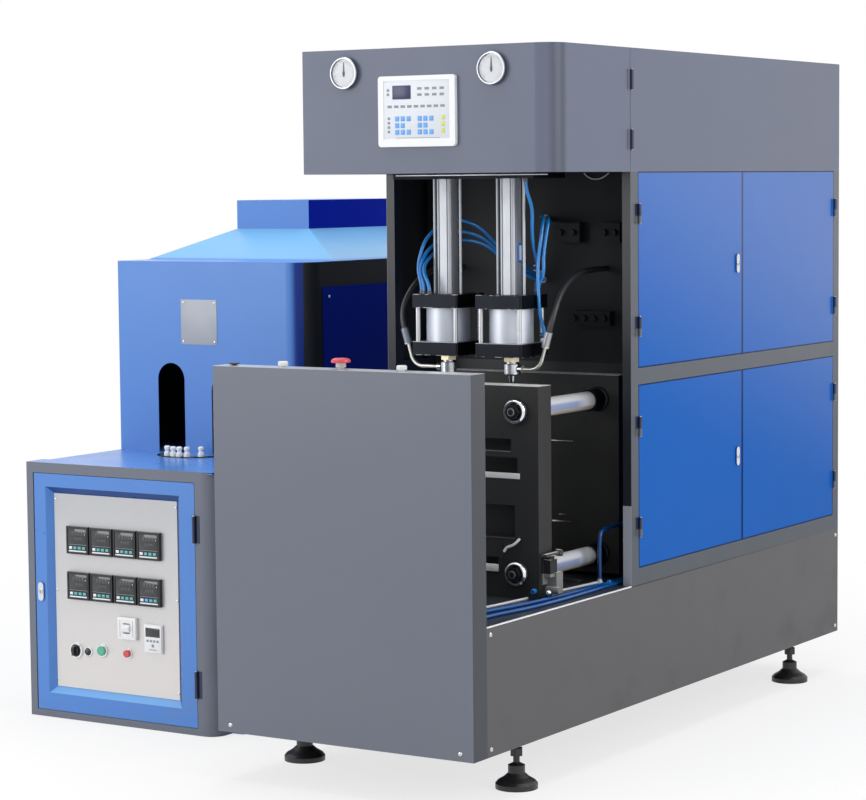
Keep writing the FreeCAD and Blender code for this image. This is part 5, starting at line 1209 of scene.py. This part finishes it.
BUSH = 62
bushes = Parts()
for x, z in TIE_PLACES:
    bushes.turned((x, MOVING_FACE, z), FRONT, [(25.5, 0), (34, 0), (34, 8), (29, 10), (29, BUSH - 1.5),
                                               (27.5, BUSH), (25.5, BUSH), (25.5, 0)], 40)
bushes.done("platen_guide_bushes", "black_oxide", "clamp", "black")
print("three steps, four guide bushes")

# %% [markdown]
# A roller switch on the platen's side tells the controller that the mould is shut. Its lever
# and rim are bright against the dark case.

# %% Roller switch trim
switch = Parts()
switch.turned((701, 509, 474), FRONT, [(0, -8), (4.6, -6.6), (7.2, -3.4), (8, 0), (7.2, 3.4),
                                       (4.6, 6.6), (0, 8)], 28)
switch.done("switch_roller_ball", "polished_chrome", "machine", "chrome")
blue_stub = Parts().ring((665, 500, 477), FRONT, 3.2, 7, 12, 1.5)
blue_stub.done("switch_air_fitting", "tube_blue", "machine", "tube")
print("roller switch")

# %% [markdown]
# ## Hoses and air tubes
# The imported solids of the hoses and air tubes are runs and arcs, which would look like bent
# wire, so each one is replaced by a smooth curve through the same chosen points. The points
# of a route are given from the middle of its station's upper flange, where most of the tubes
# are plugged in, so that a route reads as "62 to the left, 36 to the front, then up".

# %% Places the hoses start from
STACK_TOP = flanges_high[2]
TO_WALL = corners("bay_wall")[0][1] - STATION_Y
TO_HANGER = hanger_low[2] - STACK_TOP
AIR_RADIUS = 5


def from_flange(station, offsets):
    """Places given from the middle of a station's upper flange, as places of the machine."""
    return [(station + x, STATION_Y + y, STACK_TOP + z) for x, y, z in offsets]


def air_tube(name, points):
    """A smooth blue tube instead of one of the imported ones."""
    tube = hose("air_tube_" + name, points, AIR_RADIUS, "air_tube_blue")
    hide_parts("air_tubes")


print("flange top at z %.0f; wall %.0f mm behind the stations" % (STACK_TOP, TO_WALL))

# %% [markdown]
# Three blue tubes of the left station rise from its upper flange, lean over to the right and
# go down to the wall. They are the same loom at three sizes, but each was pushed in by hand,
# so their points are chosen one by one.

# %% Air tubes of the left station
air_tube("left_outer", from_flange(STATIONS[0], [
    (-62, -36, 0), (-62, -36, 24), (-80, -30, 66), (-73, -17, 124), (-65, 5, 157), (-50, 40, 186),
    (-15, 68, 202), (15, 95, 191), (34, 125, 173), (56, 165, 129), (75, 230, 80),
    (95, TO_WALL - 45, 60), (95, TO_WALL, 60)]))
air_tube("left_middle", from_flange(STATIONS[0], [
    (-43, -53, 0), (-43, -53, 24), (-66, -37, 60), (-67, -28, 88), (-62, -5, 117), (-53, 20, 135),
    (-28, 50, 165), (5, 70, 169), (40, 115, 151), (62, 160, 112), (84, 232, 66),
    (108, TO_WALL - 45, 44), (108, TO_WALL, 44)]))
air_tube("left_inner", from_flange(STATIONS[0], [
    (-24, -57, 0), (-24, -57, 24), (-50, -47, 58), (-54, -30, 85), (-56, 16, 108), (-22, 42, 139),
    (16, 60, 146), (47, 115, 133), (72, 155, 98), (96, 232, 50),
    (120, TO_WALL - 45, 28), (120, TO_WALL, 28)]))
print("three tubes at the left station")

# %% [markdown]
# The right station has one tube from the hanger plate above it and two that come from the
# wall, pass behind the extrusion and drop beside it. One of these ends below, at the
# barrel's side.

# %% Air tubes of the right station
air_tube("right_drop", from_flange(STATIONS[1], [
    (64, -30, TO_HANGER), (64, -30, 285), (71, -5, 233), (57, 15, 180), (50, 30, 141), (52, 45, 95),
    (56, 55, 50), (42, 58, 22), (42, 58, 0)]))
air_tube("right_return", from_flange(STATIONS[1], [
    (-70, TO_WALL, 200), (-70, TO_WALL - 40, 200), (66, 62, 216), (74, 37, 160), (69, 27, 99),
    (70, 22, 46), (83, 4, -10), (82, 12, -60), (90, 30, -111), (72.5, 30, -111)]))
air_tube("right_lift", from_flange(STATIONS[1], [
    (-55, TO_WALL, 194), (-55, TO_WALL - 40, 194), (81, 67, 210), (81, 50, 160), (79, 37, 103),
    (83, 33, 53), (62, 38, 24), (62, 38, 0)]))
print("three tubes at the right station")

# %% [markdown]
# Two more lie on the deck, from the back of the guard box to the valves behind the bay. They
# run side by side but not quite parallel, so only the distance from the machine's right side
# is chosen for each.

# %% Air tubes on the deck
WALL_FACE = STATION_Y + TO_WALL
DECK_ROUTE = (GUARD_BACK, GUARD_BACK + 135, GUARD_BACK + 275, GUARD_BACK + 435,
              WALL_FACE - 350, WALL_FACE - 200, WALL_FACE - 50, WALL_FACE + 100)
for name, from_side, length in (("deck_line", (130, 130, 98, 80, 74, 76, 68, 68), 1.039),
                                ("deck_return", (75, 75, 49, 42, 46, 52, 46, 46), 1.037)):
    points = [(WIDTH - x, y, DECK_TOP + AIR_RADIUS) for x, y in zip(from_side, DECK_ROUTE)]
    air_tube(name, points)
print("two tubes on the deck")

# %% [markdown]
# The two black blow hoses join the wall to the bent pipes of the seal rods, which move down
# when a bottle is blown. Such a hose can't ride on one body alone, or it would come out of
# its ferrule. Each is turned into a mesh that takes the place of the imported hose.

# %% Blow hoses
HOSE_RADIUS = 8


def meshed(curve_piece):
    """The curve's points as a mesh: its skin with a bevel, its centreline without."""
    bpy.context.view_layer.update()
    return bpy.data.meshes.new_from_object(curve_piece.evaluated_get(bpy.context.evaluated_depsgraph_get()))


for side, station, ferrule, way in (("left", STATIONS[0], -142.6, -1), ("right", STATIONS[1], 116.6, 1)):
    route = from_flange(station, [
        (ferrule, 0, -98.9), (ferrule + way * 13, 0, -55.7), (ferrule + way * 10, 50, 10),
        (ferrule + way * 10, 130, 53), (ferrule + way * 6, 225, 61), (ferrule + way * 6, TO_WALL, 61)])
    guide = wire("hose_guide", route, HOSE_RADIUS, "hose_rubber", "machine", "hose")
    skin = meshed(guide)
    guide.data.bevel_depth = 0
    line = [tuple(point.co) for point in meshed(guide).vertices]
    bpy.data.objects.remove(guide)
    piece = bpy.data.objects.new("blow_hose_" + side + "_rubber", skin)
    bpy.context.scene.collection.objects.link(piece)
    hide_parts("blow_hose_" + side)
    "seal_" + side
    at(*route[1])
    at(*route[3])
    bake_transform(piece)
    at(*route[0])
    print("blow hose", side, len(line), "points on its line")

# %% [markdown]
# ## The deck
# A bright strip along the seam between the deck and the side panel is a painted highlight of
# the panel's lit top edge, and a dark strip in the seam of the base behind it is painted
# shade. Two turned fittings stand at the deck's back.

# %% Deck edge highlight, seam shade and fittings
# The bright strip is a painted highlight of the side panel's lit top edge.
deck_highlight_strip = Parts().box((774.5, 66, 451.8), (780.5, 823, 454.8), 0.5)
deck_highlight_strip.done("deck_edge_highlight", "panel_white", "machine", "white")
# The dark strip in the base's seam is painted shade.
seam_shade_strip = Parts().box((779, 823, 450.6), (780.4, 2197, 453.4), 0.2)
seam_shade_strip.done("base_seam_shade", "needle_black", "machine", "black")
blue_fitting = Parts().turned((712, 822, DECK_TOP), UP, [(0, 0), (9, 0), (9, 8), (6.5, 9), (6.5, 13),
                                                         (5.5, 14), (0, 14)], 24)
blue_fitting.done("deck_fitting_blue", "tube_blue", "machine", "tube")
white_fitting = Parts().turned((687.5, 813, DECK_TOP), UP, [(0, 0), (8, 0), (8, 10), (6, 11), (6, 17),
                                                            (5, 18), (0, 18)], 24)
white_fitting.done("deck_fitting_white", "white_plastic", "machine", "white")
print("deck trim, base seam and two fittings")

# %% [markdown]
# A navy hose rises from the white fitting and goes back into the cabinet. A pale clear hose
# lies on the deck and comes to the same fitting from the guard box; it stands for a bright
# line of reflected light between the blue tubes, as a painted reflection. A short metal-clad
# lead sags under the header.

# %% Deck hoses and header lead
hose("header_lead", [(544, 994, 1569), (558, 993, 1556), (582, 993, 1551), (606, 993, 1556),
                     (622, 994, 1569)], 2.2, "satin_extrusion", slot="steel")
hose("deck_hose", [(687.5, 813, 468), (687.5, 813, 520), (687.5, 813, 575), (687.5, 821, 598),
                   (687.5, 850, 606), (687.5, 1000, 606)], 6, "hose_navy")
LYING = DECK_TOP + 3.5
# The pale clear hose stands for a painted reflection along the deck tubes.
hose("deck_reflection_hose", [(600, GUARD_BACK, LYING), (600, GUARD_BACK + 60, LYING), (610, 230, LYING),
                         (634, 390, LYING), (650, 600, LYING), (666, 770, LYING), (683, 806, 460)],
     3.5, "membrane", slot="white")
print("two hoses and a lead")

# %% [markdown]
# A flat steel rest lies in front of the fittings. Bright strips run along the front of its top
# and foot.

# %% Rest on the deck
REST_X = (558, 629)
REST_Y = 805
rest = Parts().box((REST_X[0], REST_Y, 452.5), (REST_X[1], REST_Y + 24, 463.2), 1.0)
rest.done("deck_rest", "dull_steel", "machine", "steel")
rest_edges = Parts().box((REST_X[0] + 1, REST_Y - 0.5, 461.2), (REST_X[1] - 1, REST_Y + 1, 463.6), 0.3)
rest_edges.box((REST_X[0] + 1, REST_Y - 0.5, 454), (REST_X[1] - 1, REST_Y + 1, 455.4), 0.3)
rest_edges.done("deck_rest_edges", "ground_steel", "machine", "steel")
print("rest on the deck")

# %% [markdown]
# ## Floor, backdrop and light
# The machine was photographed against white. The floor is a pale sweep that keeps the
# object's shadow. Seen by the camera or in a reflection it turns to plain white within a
# few metres, so no horizon line is left.

# %% Floor
def looked_at(tree):
    """1 where the camera, a mirror or a glass looks, 0 for the light that falls on things."""
    path = add_node(tree, "ShaderNodeLightPath")
    seen = [Wire(tree, path.outputs["Is %s Ray" % kind]) for kind in ("Camera", "Glossy", "Transmission")]
    return seen[0] | seen[1] | seen[2]


backdrop = Finish("pale_floor", (0.86, 0.86, 0.86), 0.7)
outward = backdrop.node("ShaderNodeVectorMath", {"operation": "LENGTH"}, {0: backdrop.place})
distance = Wire(backdrop.tree, outward.outputs["Value"])
NEAR_WHITE = 0.74
fading = NEAR_WHITE + backdrop.fade(distance, 1.6, 3.4) * (1 - NEAR_WHITE)
white = backdrop.node("ShaderNodeEmission", sockets={"Color": (1, 1, 1, 1), "Strength": 1.0})
veil = backdrop.node("ShaderNodeMixShader", sockets={
    0: looked_at(backdrop.tree) * fading, 1: backdrop.shader.outputs[0], 2: white.outputs[0]})
feed(backdrop.tree, backdrop.tree.nodes["Material Output"].inputs[0], veil.outputs[0])

floor_mesh = bmesh.new()
bmesh.ops.create_grid(floor_mesh, x_segments=1, y_segments=1, size=30)
floor_data = bpy.data.meshes.new("floor")
floor_mesh.to_mesh(floor_data)
floor_mesh.free()
floor_data.materials.append(backdrop.material)
floor = bpy.data.objects.new("floor", floor_data)
bpy.context.scene.collection.objects.link(floor)
print("floor laid")

# %% [markdown]
# The world is white where the camera or a mirror looks at it, and shines softly on the
# object, brighter from the left and above, which gives the sheet metal its lighter front
# and darker side.

# %% World
world = bpy.data.worlds.new("studio")
world.use_nodes = True
bpy.context.scene.world = world
tree = world.node_tree
heading = add_node(tree, "ShaderNodeTexCoord").outputs["Generated"]
bright_side = add_node(tree, "ShaderNodeVectorMath", {"operation": "DOT_PRODUCT"},
                       {0: heading, 1: (-0.62, -0.3, 0.72)})
ramp = add_node(tree, "ShaderNodeMapRange", {"interpolation_type": "SMOOTHSTEP"},
                {"Value": bright_side.outputs["Value"], "From Min": -0.6, "From Max": 0.9,
                 "To Min": 0.16, "To Max": 0.8})
direct = looked_at(tree)
background = tree.nodes["Background"]
feed(tree, background.inputs["Strength"], Wire(tree, ramp.outputs[0]) * (1 - direct) + direct)
feed(tree, background.inputs["Color"], (1, 1, 1, 1))
print("world ready")

# %% [markdown]
# Three soft lamps do the rest: a large one at the left front, one overhead, and a weaker one
# at the right that lifts the top of the side panels.

# %% Lamps
def softbox(name, spot, target, size, watts):
    """A square lamp that looks at a point."""
    lamp_data = bpy.data.lights.new(name, "AREA")
    lamp_data.size = size
    lamp_data.energy = watts
    lamp_object = bpy.data.objects.new(name, lamp_data)
    lamp_object.location = spot
    lamp_object.rotation_euler = (Vector(target) - Vector(spot)).to_track_quat("-Z", "Y").to_euler()
    bpy.context.scene.collection.objects.link(lamp_object)


softbox("key_left", (-3.4, -5.4, 2.4), (0, 0, 0.9), 3.2, 120)
softbox("top", (0.3, 0.2, 4.6), (0, 0.2, 0.9), 3.5, 130)
softbox("right", (4.6, -0.6, 2.6), (0.8, 0.0, 1.0), 2.5, 75)
print("studio lit")
